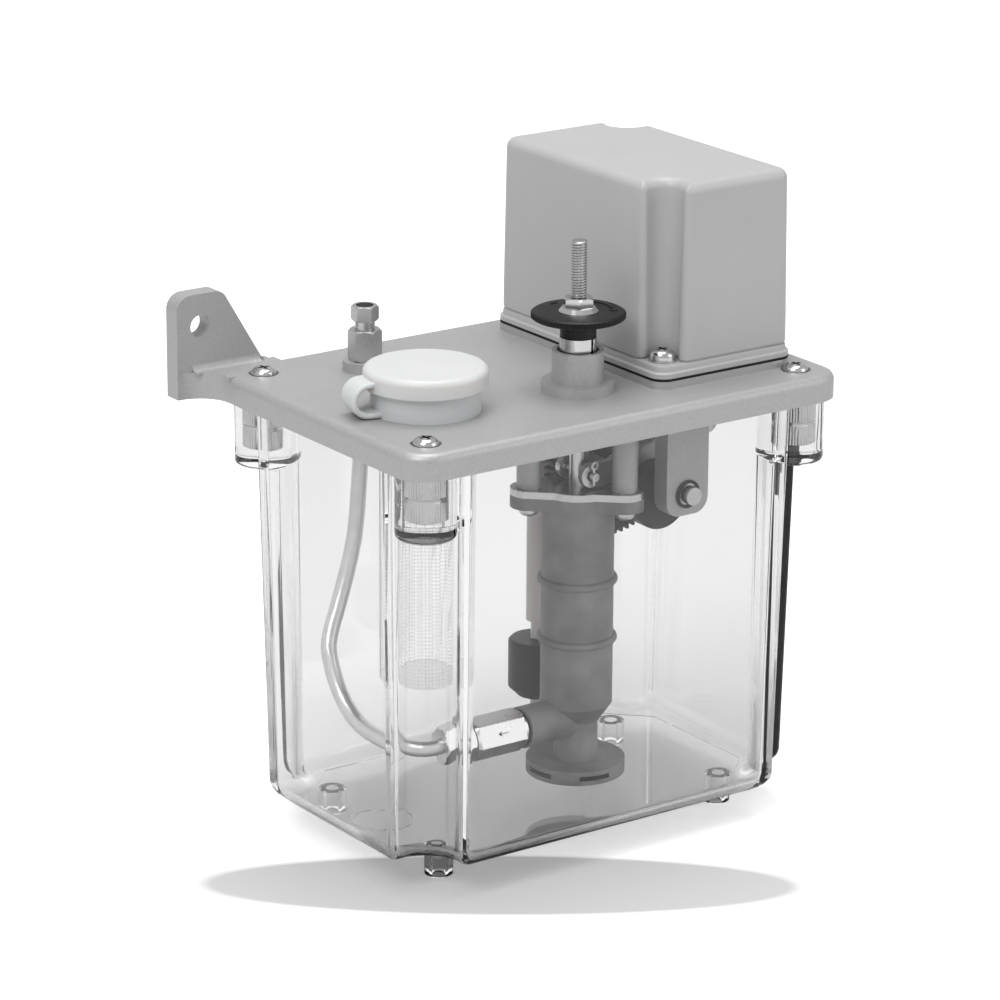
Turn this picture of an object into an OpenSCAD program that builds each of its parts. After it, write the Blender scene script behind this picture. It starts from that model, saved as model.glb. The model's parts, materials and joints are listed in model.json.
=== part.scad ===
// Wall-mounted oil dispensing pump: clear tank, cast cover, motor-driven piston pump.
// The row's origin is at the floor under the middle of the whole object, +Y towards the wall.

/* [Cover] */
// Distance between the cover screws, left to right
screw_x = 165; // [150:1:190]
// Distance between the cover screws, front to back
screw_y = 105.5; // [95:0.5:125]
// Height of the cover's top face above the floor
cover_top = 172.7; // [168:0.1:200]
// Reach of the cover past its screws
cover_edge = 13.6; // [12.8:0.1:16]
// Thickness of the cover's plate
plate_t = 4.5; // [3.5:0.1:6]
// Height of the cover's skirt
skirt_h = 9.8; // [8.5:0.1:14]
// Thickness of the skirt's wall
skirt_t = 2.3; // [1.8:0.1:2.5]
// Corner radius of the cover
cover_r = 12; // [8:0.5:13]
// Rounding of the cover's top edge
cover_soft = 3.2; // [1.5:0.1:3.8]

/* [Ears] */
// Distance between the two wall bolt holes
ear_pitch = 200; // [196:1:210]
// Radius of a wall bolt hole
ear_hole_r = 4.25; // [3:0.05:5]
// Height of the bolt holes above the cover
ear_hole_up = 17; // [14:0.2:24]
// Thickness of an ear
ear_t = 7.5; // [6:0.1:10]
// Distance from the cover's back edge to the wall
wall_gap = 9.1; // [8.5:0.1:14]
// Metal beside a bolt hole
ear_rim = 10; // [7:0.1:11]

/* [Tank] */
// Reach of the tank's top rim past the screws
tank_out_top = 10; // [9:0.1:10.4]
// Reach of the tank's bottom past the screws
tank_out_low = 6.8; // [6:0.1:8.5]
// Thickness of the tank's walls
tank_t = 3; // [2.4:0.1:3.6]
// Thickness of the tank's floor
floor_t = 3.5; // [2.5:0.1:5]
// Radius of the hollow groove down each corner
cove_r = 12; // [11.4:0.1:13]
// Rounding between a wall and a corner groove
cove_soft = 1.8; // [1:0.1:3]
// Rounding of the tank's bottom edge
base_soft = 7.5; // [4:0.1:9]
// Radius of a corner boss
boss_r = 11; // [9:0.1:11.1]
// Height of a corner boss
boss_h = 29; // [24:0.5:40]
// Height of the feet
foot_h = 9.5; // [6:0.1:14]
// Radius of a foot
foot_r = 5.3; // [4:0.1:8]
// Distance of a foot inwards from a cover screw
foot_in = 18.5; // [14:0.5:26]

/* [Fasteners] */
// Radius of a cover screw's shank
screw_r = 2.5; // [2:0.1:3]
// Length of a cover screw under its head
screw_l = 18; // [14:0.5:24]
// Radius of a threaded insert
insert_r = 5.2; // [4.6:0.1:6.5]
// Length of a threaded insert
insert_l = 18; // [14:0.5:22]

/* [Motor cover] */
// Width of the motor cover
motor_w = 60.5; // [58:0.5:64]
// Length of the motor cover, front to back
motor_d = 102; // [96:0.5:106]
// Height of the motor cover's top above the tank cover
motor_h = 74.8; // [70:0.2:95]
// Distance of the motor cover right of the middle
motor_x = 54.65; // [52:0.05:56]
// Wall of the motor cover
motor_t = 2.4; // [1.8:0.1:2.6]
// Draft of the motor cover's walls
motor_draft = 1; // [0.2:0.1:2]
// Reach of the motor cover's flange
motor_lip = 1.1; // [0.8:0.1:1.6]
// Height of the cast pad under the motor cover
motor_pad_h = 2.8; // [1.5:0.1:5]

/* [Pump] */
// Distance of the pump in front of the middle of the cover
pump_front = 29.4; // [26:0.1:32]
// Radius of the pump cylinder
barrel_r = 13.4; // [12:0.1:14.5]
// Radius of the cylinder's bore
bore_r = 8; // [6:0.1:9.5]
// Length of the barrel below its flange
barrel_l = 83; // [70:0.5:90]
// Angle of the pump's bolt line from the front
pump_turn = -42; // [-50:1:-36]
// Distance from the pump's axis to each post
post_out = 17.5; // [17:0.1:18.5]
// Length of the posts below the cover's plate
post_l = 31; // [26:0.5:36]
// Radius of the foot disc
foot_disc_r = 18.4; // [15:0.1:20]
// Radius of the adjusting rod
rod_r = 3; // [2.5:0.1:3.4]

/* [Drive] */
// Distance of the camshaft right of the middle
cam_x = 32.2; // [31:0.1:34]
// Depth of the camshaft below the cover's top face
cam_down = 38.8; // [37:0.1:42]
// Radius of the camshaft
shaft_r = 3.4; // [3:0.1:4]
// Throw of the eccentric
throw = 4.2; // [2.5:0.1:4.5]
// Radius of the eccentric
eccentric_r = 12.8; // [10:0.1:13]
// Gear module of worm and wheel
gear_m = 0.9; // [0.7:0.05:0.9]
// Teeth of the worm wheel
wheel_teeth = 60; // [50:1:60]

/* [Filler and outlet] */
// Radius of the filler cap
cap_r = 22.6; // [20:0.1:25]
// Radius of the filler collar
collar_r = 20; // [18:0.1:21]
// Depth of the strainer below the cover's top face
strainer_l = 101; // [60:1:120]
// Radius of the oil pipe
pipe_r = 3; // [2.5:0.1:3.4]

/* [Float] */
// Radius of the float
float_r = 10.8; // [9:0.1:11]
// Height of the float
float_h = 22.4; // [16:0.2:26]
// Travel of the float
float_travel = 6.5; // [3:0.5:9]

/* [Hidden] */
$fn = 64;

// Radial clearances: a part that turns or slides, a part that is fixed, and two moving faces
run = 0.06;
seat = 0.03;
slack = 0.3;
// Depth that joined lumps of one casting share
bite = 1;

// The cover's middle lies forward of the row's middle by half the ears' reach
cover_y = -wall_gap / 2;
sx = screw_x / 2;
sy = screw_y / 2;
half_w = sx + cover_edge;
half_d = sy + cover_edge;
wall_y = half_d + wall_gap;
plate_low = cover_top - plate_t;
skirt_low = cover_top - skirt_h;
gasket_t = 1;
tank_top = plate_low - gasket_t;
tank_low = foot_h;
corners = [[-sx, -sy], [sx, -sy], [sx, sy], [-sx, sy]];
screw_head_r = 4.75;
screw_head_h = 3.5;
screw_recess_r = 5.6;
screw_recess = 1.2;

// Rounding and reach of the ears
ear_soft = 6;
ear_top_rim = ear_rim + 2.2;
ear_foot_x = ear_pitch / 2 - 26.2;
ear_slope_x = 15.2;
ear_web = 13;
ear_fillet = 3;
ear_step = 6;

// Places on the cover, from its middle
filler_at = [-59, -18.2];
outlet_at = [-48.9, 36.2];
pump_at = [0, -pump_front];
float_at = [8.5, 7.3];
outlet_pad_r = 8.25;
outlet_pad_h = 3.8;

// Levels of the pump below the cover
plate_hi = plate_low - post_l;
pump_plate_t = 2.6;
flange_hi = plate_hi - pump_plate_t;
flange_t = 4.7;
flange_low = flange_hi - flange_t;
barrel_low = flange_low - barrel_l;
post_r = 4.65;
post_front = 5;
post_pad_r = 7;
neck_r = 8.2;
neck_l = 15.5;
foot_disc_t = 5.2;
foot_disc_hi = barrel_low - neck_l;
foot_bore_r = 5;
outlet_z = barrel_low + 0.8;
outlet_boss_r = 7.8;
outlet_boss_end = 25;
adaptor_top = 18.8;
line_r = pipe_r + 0.25;
valve_l = 23.7;
valve_end = outlet_boss_end + valve_l;
pipe_nut_l = 10.2;
stub_r = 5;
stub_l = 8;
m4_r = 2;

// Plunger: everything on the rod
piston_rod_r = 3.5;
piston_h = 12;
piston_low = barrel_low + 10;
piston_top = piston_low + piston_h;
pin_r = 1.6;
pin_z = plate_hi + 5.3;
arm_t = 2.6;
arm_out = 5.7;
eye_r = 4.4;
pin_half = arm_out + arm_t + 2.6;
rod_top = cover_top + 56;
sleeve_low = cover_top + 6;
sleeve_r = 6.8;
hub_low = cover_top + 20.3;
hub_r = 6.6;
knob_r = 17.24;
knob_t = 3.1;
knob_hi = cover_top + 30;
knob_boss_r = 9.5;
knob_boss_h = 15.4;
knob_flange_r = 13.4;
mouth_r = 7.75;
bush_hi = cover_top + 3;
bush_r = 6;

// The drive's place across the tank
cam_z = cover_top - cam_down;
cam_rest = 245;
lug_front = -sy;
lug_t = 7.5;
lug_w = 18.9;
lug_below = 8.1;
rear_front = lug_front + 25;
rear_t = 7;
rear_w = 21.6;
rear_below = 10.8;
bush_out_r = 5.25;
cam_front = lug_front + 13;
cam_t = 6;
cam_reach = eccentric_r + throw;
wheel_front = lug_front + 45;
wheel_t = 6;
wheel_r = gear_m * wheel_teeth / 2;
worm_r = 5;
worm_x = cam_x + wheel_r + worm_r;
worm_y = wheel_front + wheel_t / 2;
worm_shaft_r = 3;
worm_lead = PI * gear_m;
worm_len = 3.5 * worm_lead;
worm_boss_l = 9;
pivot_x = cam_x + 19.3;
pivot_z = cam_z + 20.8;
pivot_r = 2.6;
hub_out_r = 5.2;
shoe_z = cam_z + cam_reach + slack;
lever_front = pump_at.y - arm_out - arm_t;

// Motor and its cover
motor_y = 4.3;
mount_z = cover_top + motor_pad_h;
motor_gasket_t = 0.8;
shell_low = mount_z + motor_gasket_t;
shell_hi = cover_top + motor_h;
motor_lip_h = 2.4;
motor_r = 5;
motor_soft = 4;
notch_r = 9.5;
notch_at = [motor_w / 2 - 6.9, motor_d / 2 - 8];
ledge_h = 4.7;
can_r = 24;
can_h = 42;
motor_plate_t = 2;
motor_ear_y = 31;
gland_y = motor_y + 14;
gland_z = cover_top + 58;
gland_r = 6;
gland_pad_r = 10;

// Feet under the tank, filler and hook-ups of the float
foot_x = sx - foot_in;
foot_y = sy - foot_in;
collar_h = 9;
collar_in = 16.2;
cap_h = 7.5;
strainer_r = 15.5;
strainer_low = cover_top - strainer_l;
float_low = cover_top - 129.7;
stem_r = 4.2;
stem_pin_r = 2.4;
clip_t = 1.2;

// Grey tones of the parts
cast_grey = [0.62, 0.62, 0.61];
light_grey = [0.70, 0.70, 0.70];
steel = [0.72, 0.72, 0.72];
dark_steel = [0.28, 0.28, 0.29];
zinc = [0.42, 0.42, 0.41];
raw_cast = [0.45, 0.45, 0.45];
black = [0.07, 0.07, 0.07];
off_white = [0.90, 0.90, 0.88];
clear = [0.90, 0.93, 0.94, 0.35];

// Helpers that several parts share
module at_cover() {
    translate([0, cover_y, 0]) children();
}
module at_pump() {
    at_cover() translate([pump_at.x, pump_at.y, 0]) children();
}
module at_posts() {
    at_pump() rotate([0, 0, pump_turn]) for (s = [-1, 1]) translate([s * post_out, -post_front, 0])
        children();
}
module at_motor() {
    at_cover() translate([motor_x, motor_y, 0]) children();
}
module at_motor_screws() {
    at_motor() for (s = [-1, 1]) translate([s * notch_at.x, s * notch_at.y, 0]) children();
}
module along_y(x, y, z) {
    translate([x, y, z]) rotate([-90, 0, 0]) children();
}
module along_x(x, y, z) {
    translate([x, y, z]) rotate([0, 90, 0]) children();
}
module pad2d(w, d, r) {
    square([w - 2 * r, d], center = true);
    square([w, d - 2 * r], center = true);
    for (x = [-1, 1], y = [-1, 1]) translate([x * (w / 2 - r), y * (d / 2 - r)]) circle(r);
}
module slab(w, d, r, h) {
    linear_extrude(h) pad2d(w, d, r);
}
module ring(ro, ri, h) {
    difference() {
        cylinder(r = ro, h = h);
        translate([0, 0, -bite]) cylinder(r = ri, h = h + 2 * bite);
    }
}
// Upright plate with rounded lower corners, w wide, from z0 up to z1
module lug(x, y, w, t, r, z0, z1) {
    translate([x, y + t, (z0 + z1) / 2]) rotate([90, 0, 0]) linear_extrude(t) {
        pad2d(w, z1 - z0, r);
        translate([-w / 2, 0]) square([w, (z1 - z0) / 2]);
    }
}
// Hexagon with both ends chamfered, across flats af
module hex_bar(af, h) {
    r = af / 2 / cos(30);
    c = r * 0.14;
    intersection() {
        cylinder(r = r, h = h, $fn = 6);
        rotate_extrude() polygon([[0, 0], [r - c, 0], [r, c], [r, h - c], [r - c, h], [0, h]]);
    }
}
// Pan head with a cross recess, underside at z = 0
module pan_head(r, h) {
    difference() {
        rotate_extrude() polygon(concat([[0, 0], [r, 0], [r, h * 0.3]],
            [for (a = [18:18:72]) [r * (0.4 + 0.6 * cos(a)), h * (0.3 + 0.7 * sin(a))]],
            [[r * 0.4, h], [0, h]]));
        for (a = [0, 90]) rotate([0, 0, a]) translate([-r * 0.5, -r * 0.12, h * 0.5]) cube([r, r *
            0.24, h]);
    }
}
// Screw with its head's underside at z = 0 and the shank below
module pan_screw(r, l, head_r, head_h) {
    pan_head(head_r, head_h);
    translate([0, 0, -l]) cylinder(r = r, h = l);
}

// Curves: an arc of n steps, a smooth line through points, and a tube along a line
function arc(c, r, a, b, n) = [for (i = [0:n]) let (t = a + (b - a) * i / n) c + r * [cos(t), sin(t)]];
function flip(l) = [for (i = [len(l) - 1:-1:0]) l[i]];
function spline_at(a, b, c, d, t) =
    0.5 * (2 * b + (c - a) * t + (2 * a - 5 * b + 4 * c - d) * t * t + (3 * b - a - 3 * c + d) * t * t * t);
function smooth(p, n) = concat(
    [for (i = [0:len(p) - 2], k = [0:n - 1])
        spline_at(p[max(i - 1, 0)], p[i], p[i + 1], p[min(i + 2, len(p) - 1)], k / n)],
    [p[len(p) - 1]]);
function unit(v) = v / norm(v);
function tangent(p, i) = unit(p[min(i + 1, len(p) - 1)] - p[max(i - 1, 0)]);
function side_of(t) = unit(cross(t, abs(t.z) > 0.9 ? [0, 1, 0] : [0, 0, 1]));
function carry(s, t) = unit(s - (s * t) * t);
function sides(p, i, s, out) =
    i >= len(p) ? out :
    let (t = tangent(p, i), now = i == 0 ? side_of(t) : carry(s, t))
    sides(p, i + 1, now, concat(out, [now]));
function ring_points(p, s, r, n) =
    [for (i = [0:len(p) - 1]) let (b = cross(tangent(p, i), s[i]))
        for (k = [0:n - 1]) p[i] + r * (cos(360 * k / n) * s[i] + sin(360 * k / n) * b)];
function skin(last, n, o) = concat(
    [for (i = [0:last - 1], k = [0:n - 1]) let (a = o + i * n + k, b = o + i * n + (k + 1) % n) [a, a +
        n, b + n]],
    [for (i = [0:last - 1], k = [0:n - 1]) let (a = o + i * n + k, b = o + i * n + (k + 1) % n) [a, b +
        n, b]]);
module swept_rod(p, r, n) {
    last = len(p) - 1;
    polyhedron(ring_points(p, sides(p, 0, p[0], []), r, n),
        concat([[for (k = [0:n - 1]) k]], skin(last, n, 0), [[for (k = [n - 1:-1:0]) last * n + k]]),
        convexity = 8);
}
module swept_pipe(p, r, ri, n) {
    s = sides(p, 0, p[0], []);
    last = len(p) - 1;
    m = len(p) * n;
    e = last * n;
    polyhedron(concat(ring_points(p, s, r, n), ring_points(p, s, ri, n)), concat(
        skin(last, n, 0),
        [for (f = skin(last, n, m)) [f[2], f[1], f[0]]],
        [for (k = [0:n - 1]) let (j = (k + 1) % n) [k, j, m + j]],
        [for (k = [0:n - 1]) let (j = (k + 1) % n) [k, m + j, m + k]],
        [for (k = [0:n - 1]) let (j = (k + 1) % n) [e + j, e + k, m + e + j]],
        [for (k = [0:n - 1]) let (j = (k + 1) % n) [e + k, m + e + k, m + e + j]]
    ), convexity = 8);
}
function coil(r, lead_in, z0, z1, turns, steps) =
    [for (i = [0:turns * steps]) let (a = 360 * i / steps, t = i / steps,
        f = min(max((t - lead_in) / (turns - 2 * lead_in), 0), 1)) [r * cos(a), r * sin(a), z0 + (z1 -
            z0) * f]];

// Corner of a box with a hollow groove of radius rc about c, its edges rounded by rr
function corner_line(hx, hy, c, rc, rr) =
    let (
        reach = rc + rr,
        f1 = [hx - rr, c.y - sqrt(reach * reach - pow(hx - rr - c.x, 2))],
        f2 = [c.x - sqrt(reach * reach - pow(hy - rr - c.y, 2)), hy - rr],
        a1 = atan2(c.y - f1.y, c.x - f1.x),
        a2 = atan2(c.y - f2.y, c.x - f2.x)
    )
    concat(arc(f1, rr, 0, a1, 3), arc(c, rc, a1 - 180, a2 - 180, 10), arc(f2, rr, a2, 90, 3));
// Closed body through rings of equal length, bottom ring first
module stack(rings) {
    n = len(rings[0]);
    last = len(rings) - 1;
    foot = n * len(rings);
    polyhedron(concat([for (r = rings) each r], [[0, 0, rings[0][0].z], [0, 0, rings[last][0].z]]),
        concat([for (k = [0:n - 1]) [foot, k, (k + 1) % n]], skin(last, n, 0),
            [for (k = [0:n - 1]) [foot + 1, last * n + (k + 1) % n, last * n + k]]),
        convexity = 8);
}
function at_level(l, z) = [for (v = l) [v.x, v.y, z]];
function box_line(hx, hy, r) = concat(
    arc([hx - r, hy - r], r, 0, 90, 8), arc([r - hx, hy - r], r, 90, 180, 8),
    arc([r - hx, r - hy], r, 180, 270, 8), arc([hx - r, r - hy], r, 270, 360, 8));
// Slab with its top edge rounded by e
module soft_slab(w, d, r, h, e) {
    stack(concat([at_level(box_line(w / 2, d / 2, r), 0)], [for (a = [0:18:90]) let (m = e * (1 - cos(a)))
        at_level(box_line(w / 2 - m, d / 2 - m, r - m), h - e + e * sin(a))]));
}

// Tank levels are [height, inset from the outside face]
function tank_out(z) = tank_out_low + (tank_out_top - tank_out_low) * (z - tank_low) / (tank_top -
    tank_low);
function tank_line(m, rc) =
    let (q = corner_line(sx + m, sy + m, [sx, sy], rc, cove_soft), f = flip(q))
    concat(q, [for (v = f) [-v.x, v.y]], [for (v = q) [-v.x, -v.y]], [for (v = f) [v.x, -v.y]]);
function tank_ring(l) = at_level(tank_line(tank_out(l[0]) - l[1], cove_r + l[1]), l[0]);
// Open tank as one closed skin: up the outside, over the rim and down the inside
module tank_shell(outer, inner) {
    n = len(tank_ring(outer[0]));
    i0 = n * len(outer);
    rim = i0 - n;
    top = n * (len(outer) + len(inner)) - n;
    hub = n * (len(outer) + len(inner));
    polyhedron(concat([for (l = outer) each tank_ring(l)], [for (l = inner) each tank_ring(l)],
        [[0, 0, outer[0][0]], [0, 0, inner[0][0]]]), concat(
        [for (k = [0:n - 1]) [hub, k, (k + 1) % n]], skin(len(outer) - 1, n, 0),
        [for (k = [0:n - 1]) let (j = (k + 1) % n) [rim + j, rim + k, top + k, top + j]],
        [for (f = skin(len(inner) - 1, n, i0)) [f[2], f[1], f[0]]],
        [for (k = [0:n - 1]) [hub + 1, i0 + (k + 1) % n, i0 + k]]
    ), convexity = 8);
}
function low_edge(z, r, inset) = [for (a = [0:18:90]) [z + r * (1 - cos(a)), inset + r * (1 - sin(a))]];

// Motor cover levels: two grooved corners across from each other, two plain ones
function shell_out(z) = -motor_draft * (z - shell_low) / (shell_hi - shell_low);
function shell_line(m) =
    let (
        hx = motor_w / 2 + m,
        hy = motor_d / 2 + m,
        q = concat(corner_line(hx, hy, notch_at, notch_r - m, 1.5),
            arc([motor_r - motor_w / 2, motor_d / 2 - motor_r], motor_r + m, 90, 180, 6))
    )
    concat(q, [for (v = q) -v]);
module shell_body(levels) {
    stack([for (l = levels) at_level(shell_line(shell_out(l[0]) - l[1]), l[0])]);
}
function top_edge(z, r, inset) = [for (a = [0:18:90]) [z - r + r * sin(a), inset + r * (1 - cos(a))]];

// Clear tank with grooved corners, insert bosses and four feet
module tank() {
    floor_z = tank_low + floor_t;
    boss_low = tank_top - boss_h;
    boss_soft = 2;
    core_r = 2.5;
    mark_at = [-68, -2.7];
    mark_r = 10.4;
    mark_t = 0.8;
    sole_t = 0.9;
    sole = [sx - 2.5, sy - 2.5];
    sole_cut = sx + sy - (cove_r + base_soft + 0.5) * sqrt(2);
    color(clear) at_cover() difference() {
        union() {
            tank_shell(concat(low_edge(tank_low + sole_t, base_soft, 0), [[tank_top, 0]]),
                concat(low_edge(floor_z, base_soft - 2.5, tank_t), [[tank_top, tank_t]]));
            translate([0, 0, tank_low]) linear_extrude(2 * sole_t) polygon([for (q = [[1, 1], [-1, 1],
                [-1, -1], [1, -1]])
                each let (c = [[q.x * sole.x, q.y * (sole_cut - sole.x)], [q.x * (sole_cut - sole.y),
                    q.y * sole.y]])
                    q.x * q.y > 0 ? c : flip(c)]);
            for (c = corners) translate([c.x, c.y, boss_low]) difference() {
                union() {
                    rotate_extrude() polygon(concat([[0, 0]],
                        arc([boss_r - boss_soft, boss_soft], boss_soft, -90, 0, 5), [[boss_r, boss_h],
                            [0, boss_h]]));
                    translate([0, 0, boss_soft]) intersection() {
                        cylinder(r = cove_r + tank_t / 4, h = boss_h - boss_soft);
                        translate([c.x > 0 ? -20 : -6, c.y > 0 ? -20 : -6, 0]) cube([26, 26, boss_h -
                            boss_soft]);
                    }
                }
                translate([0, 0, boss_h - insert_l]) cylinder(r = insert_r + seat, h = insert_l + bite);
            }
            for (x = [-1, 1], y = [-1, 1]) translate([x * foot_x, y * foot_y, 0])
                rotate_extrude() polygon([[0, 0], [foot_r - 0.8, 0], [foot_r, 0.8],
                    [foot_r, foot_h + bite], [0, foot_h + bite]]);
        }
        for (x = [-1, 1], y = [-1, 1]) translate([x * foot_x, y * foot_y, -bite])
            cylinder(r = core_r, h = foot_h + bite);
        translate([mark_at.x, mark_at.y, tank_low - mark_t]) ring(mark_r, mark_r - mark_t, 2 * mark_t);
    }
}

// Four threaded inserts in the corner bosses
module tank_inserts() {
    groove = 0.8;
    color(steel) at_cover() for (c = corners) translate([c.x, c.y, tank_top - insert_l]) difference() {
        rotate_extrude() polygon([[0, 0], [insert_r, 0], [insert_r, 6.5], [insert_r - groove, 7],
            [insert_r - groove, 8.5], [insert_r, 9], [insert_r, insert_l], [0, insert_l]]);
        translate([0, 0, bite]) cylinder(r = screw_r + seat, h = insert_l);
    }
}

// Cast cover with ears, pump posts, drive lugs and bosses
module ear_plate() {
    outer = ear_pitch / 2 + ear_rim;
    top = ear_hole_up + ear_top_rim;
    translate([0, wall_y, cover_top]) rotate([90, 0, 0]) linear_extrude(ear_t) {
        polygon([[ear_foot_x - ear_step, -skirt_h], [outer, -skirt_h],
            [outer, top - ear_soft], [outer - ear_soft, top],
            [ear_foot_x + ear_slope_x + 4.4, top], [ear_foot_x + ear_slope_x, top - 2.5],
            [ear_foot_x, 1.3], [ear_foot_x - 2.5, -0.8], [ear_foot_x - ear_step, -1.2]]);
        translate([outer - ear_soft, top - ear_soft]) circle(ear_soft);
        translate([ear_foot_x + ear_slope_x + 4.4, top - 5.2]) circle(5.2);
    }
}
module ear_web_block() {
    front = wall_y - ear_t;
    translate([ear_foot_x - ear_step, half_d - cover_r, skirt_low])
        cube([half_w - ear_foot_x + ear_step, front + bite - half_d + cover_r, skirt_h]);
    translate([0, 0, skirt_low]) linear_extrude(skirt_h) polygon(concat(
        [[half_w - 2 * bite, front + bite], [half_w - 2 * bite, front - ear_web]],
        arc([half_w + ear_web, front - ear_web], ear_web, 180, 90, 8), [[half_w + ear_web, front + bite]]));
}
module ear_root() {
    front = wall_y - ear_t;
    translate([ear_foot_x + bite, 0, cover_top]) rotate([90, 0, 90]) linear_extrude(half_w + ear_web /
        2 - ear_foot_x)
        polygon(concat([[front + bite, ear_fillet], [front + bite, -bite], [front - ear_fillet, -bite]],
            arc([front - ear_fillet, ear_fillet], ear_fillet, -90, 0, 6)));
}
module cover() {
    color(cast_grey) at_cover() difference() {
        union() {
            difference() {
                union() {
                    translate([0, 0, skirt_low]) soft_slab(2 * half_w, 2 * half_d, cover_r, skirt_h,
                        cover_soft);
                    for (m = [0, 1]) mirror([m, 0, 0]) ear_web_block();
                }
                translate([0, 0, skirt_low - bite])
                    slab(2 * (half_w - skirt_t), 2 * (half_d - skirt_t), cover_r - skirt_t,
                        plate_low - skirt_low + bite);
            }
            for (m = [0, 1]) mirror([m, 0, 0]) {
                ear_plate();
                ear_root();
            }
            translate([pump_at.x, pump_at.y, cover_top - bite]) {
                cylinder(r = knob_boss_r, h = knob_boss_h + bite);
                cylinder(r = knob_flange_r, h = outlet_pad_h + bite);
            }
            translate([outlet_at.x, outlet_at.y, cover_top - bite]) cylinder(r = outlet_pad_r, h =
                outlet_pad_h + bite);
            translate([motor_x, motor_y, cover_top - bite])
                slab(motor_w + 2 * motor_lip, motor_d + 2 * motor_lip, motor_r + motor_lip, motor_pad_h
                    + bite);
            translate([pump_at.x, pump_at.y, plate_hi]) rotate([0, 0, pump_turn])
                for (s = [-1, 1]) translate([s * post_out, -post_front, 0]) cylinder(r = post_r, h =
                    post_l + bite);
            lug(cam_x, lug_front, lug_w, lug_t, 6, cam_z - lug_below, plate_low + bite);
            lug(cam_x, rear_front, rear_w, rear_t, 8, cam_z - rear_below, plate_low + bite);
            lug(pivot_x, rear_front, 14, rear_t, 5, pivot_z - 6, plate_low + bite);
            translate([worm_x, worm_y, plate_low - worm_boss_l]) cylinder(r = 7, h = worm_boss_l + bite);
        }
        for (c = corners) translate([c.x, c.y, 0]) {
            translate([0, 0, plate_low - bite]) cylinder(r = screw_r + slack, h = plate_t + 2 * bite);
            translate([0, 0, cover_top - screw_recess]) cylinder(r = screw_recess_r, h = skirt_h);
        }
        for (s = [-1, 1]) along_y(s * ear_pitch / 2, half_d, cover_top + ear_hole_up)
            cylinder(r = ear_hole_r, h = wall_gap + bite);
        translate([filler_at.x, filler_at.y, plate_low - bite]) cylinder(r = collar_in + 1.5 + seat, h
            = plate_t + 2 * bite);
        translate([outlet_at.x, outlet_at.y, plate_low - bite]) cylinder(r = stub_r + seat, h = 20);
        translate([pump_at.x, pump_at.y, 0]) {
            translate([0, 0, plate_low - bite]) cylinder(r = bush_r + seat, h = 20);
            translate([0, 0, bush_hi]) cylinder(r = mouth_r, h = 20);
        }
        translate([pump_at.x, pump_at.y, plate_hi - bite]) rotate([0, 0, pump_turn])
            for (s = [-1, 1]) translate([s * post_out, -post_front, 0]) cylinder(r = m4_r + seat, h =
                10 + bite);
        for (y = [lug_front, rear_front]) along_y(cam_x, y - bite, cam_z) cylinder(r = bush_out_r +
            seat, h = lug_t + 2 * bite);
        along_y(pivot_x, rear_front - bite, pivot_z) cylinder(r = pivot_r + seat, h = rear_t + 2 * bite);
        translate([worm_x, worm_y, plate_low - worm_boss_l - bite]) cylinder(r = worm_shaft_r + run, h
            = 30);
        translate([motor_x, motor_y, mount_z - 5.3]) {
            for (s = [-1, 1]) {
                translate([s * notch_at.x, s * notch_at.y, 0]) cylinder(r = screw_r + seat, h = 10);
                translate([0, s * motor_ear_y, 0]) cylinder(r = m4_r + seat, h = 10);
            }
        }
    }
}

// Flat gasket between tank rim and cover
module cover_gasket() {
    lip = tank_t + 0.8;
    color(black) at_cover() translate([0, 0, tank_top]) difference() {
        union() {
            difference() {
                slab(2 * (sx + tank_out_top), 2 * (sy + tank_out_top), tank_out_top, gasket_t);
                translate([0, 0, -bite])
                    slab(2 * (sx + tank_out_top - lip), 2 * (sy + tank_out_top - lip), tank_out_top -
                        lip, gasket_t + 2 * bite);
            }
            for (c = corners) translate([c.x, c.y, 0]) cylinder(r = tank_out_top, h = gasket_t);
        }
        for (c = corners) translate([c.x, c.y, -bite]) cylinder(r = screw_r + slack, h = gasket_t + 2 *
            bite);
    }
}
module cover_screws() {
    color(steel) at_cover() for (c = corners)
        translate([c.x, c.y, cover_top - screw_recess]) pan_screw(screw_r, screw_l, screw_head_r,
            screw_head_h);
}

// Filler neck, cap with its strap, and the strainer that hangs in the neck
module filler_collar() {
    spigot = 7;
    color(off_white) at_cover() translate([filler_at.x, filler_at.y, cover_top]) difference() {
        union() {
            cylinder(r = collar_r, h = collar_h);
            translate([0, 0, -spigot]) cylinder(r = collar_in + 1.5, h = spigot + bite);
        }
        translate([0, 0, -spigot - bite]) cylinder(r = strainer_r + seat, h = spigot + collar_h);
        translate([0, 0, collar_h - 3]) cylinder(r = collar_in + seat, h = 4);
    }
}
module filler_cap() {
    soft = 2.6;
    plug_r = strainer_r - 1.6;
    color(off_white) at_cover() translate([filler_at.x, filler_at.y, cover_top + collar_h]) {
        rotate_extrude() polygon(concat([[0, 0], [cap_r - 0.6, 0], [cap_r, 0.6]],
            arc([cap_r - soft, cap_h - soft], soft, 0, 90, 6), [[0, cap_h]]));
        translate([0, 0, -4]) cylinder(r = plug_r, h = 4 + bite);
    }
}
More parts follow.
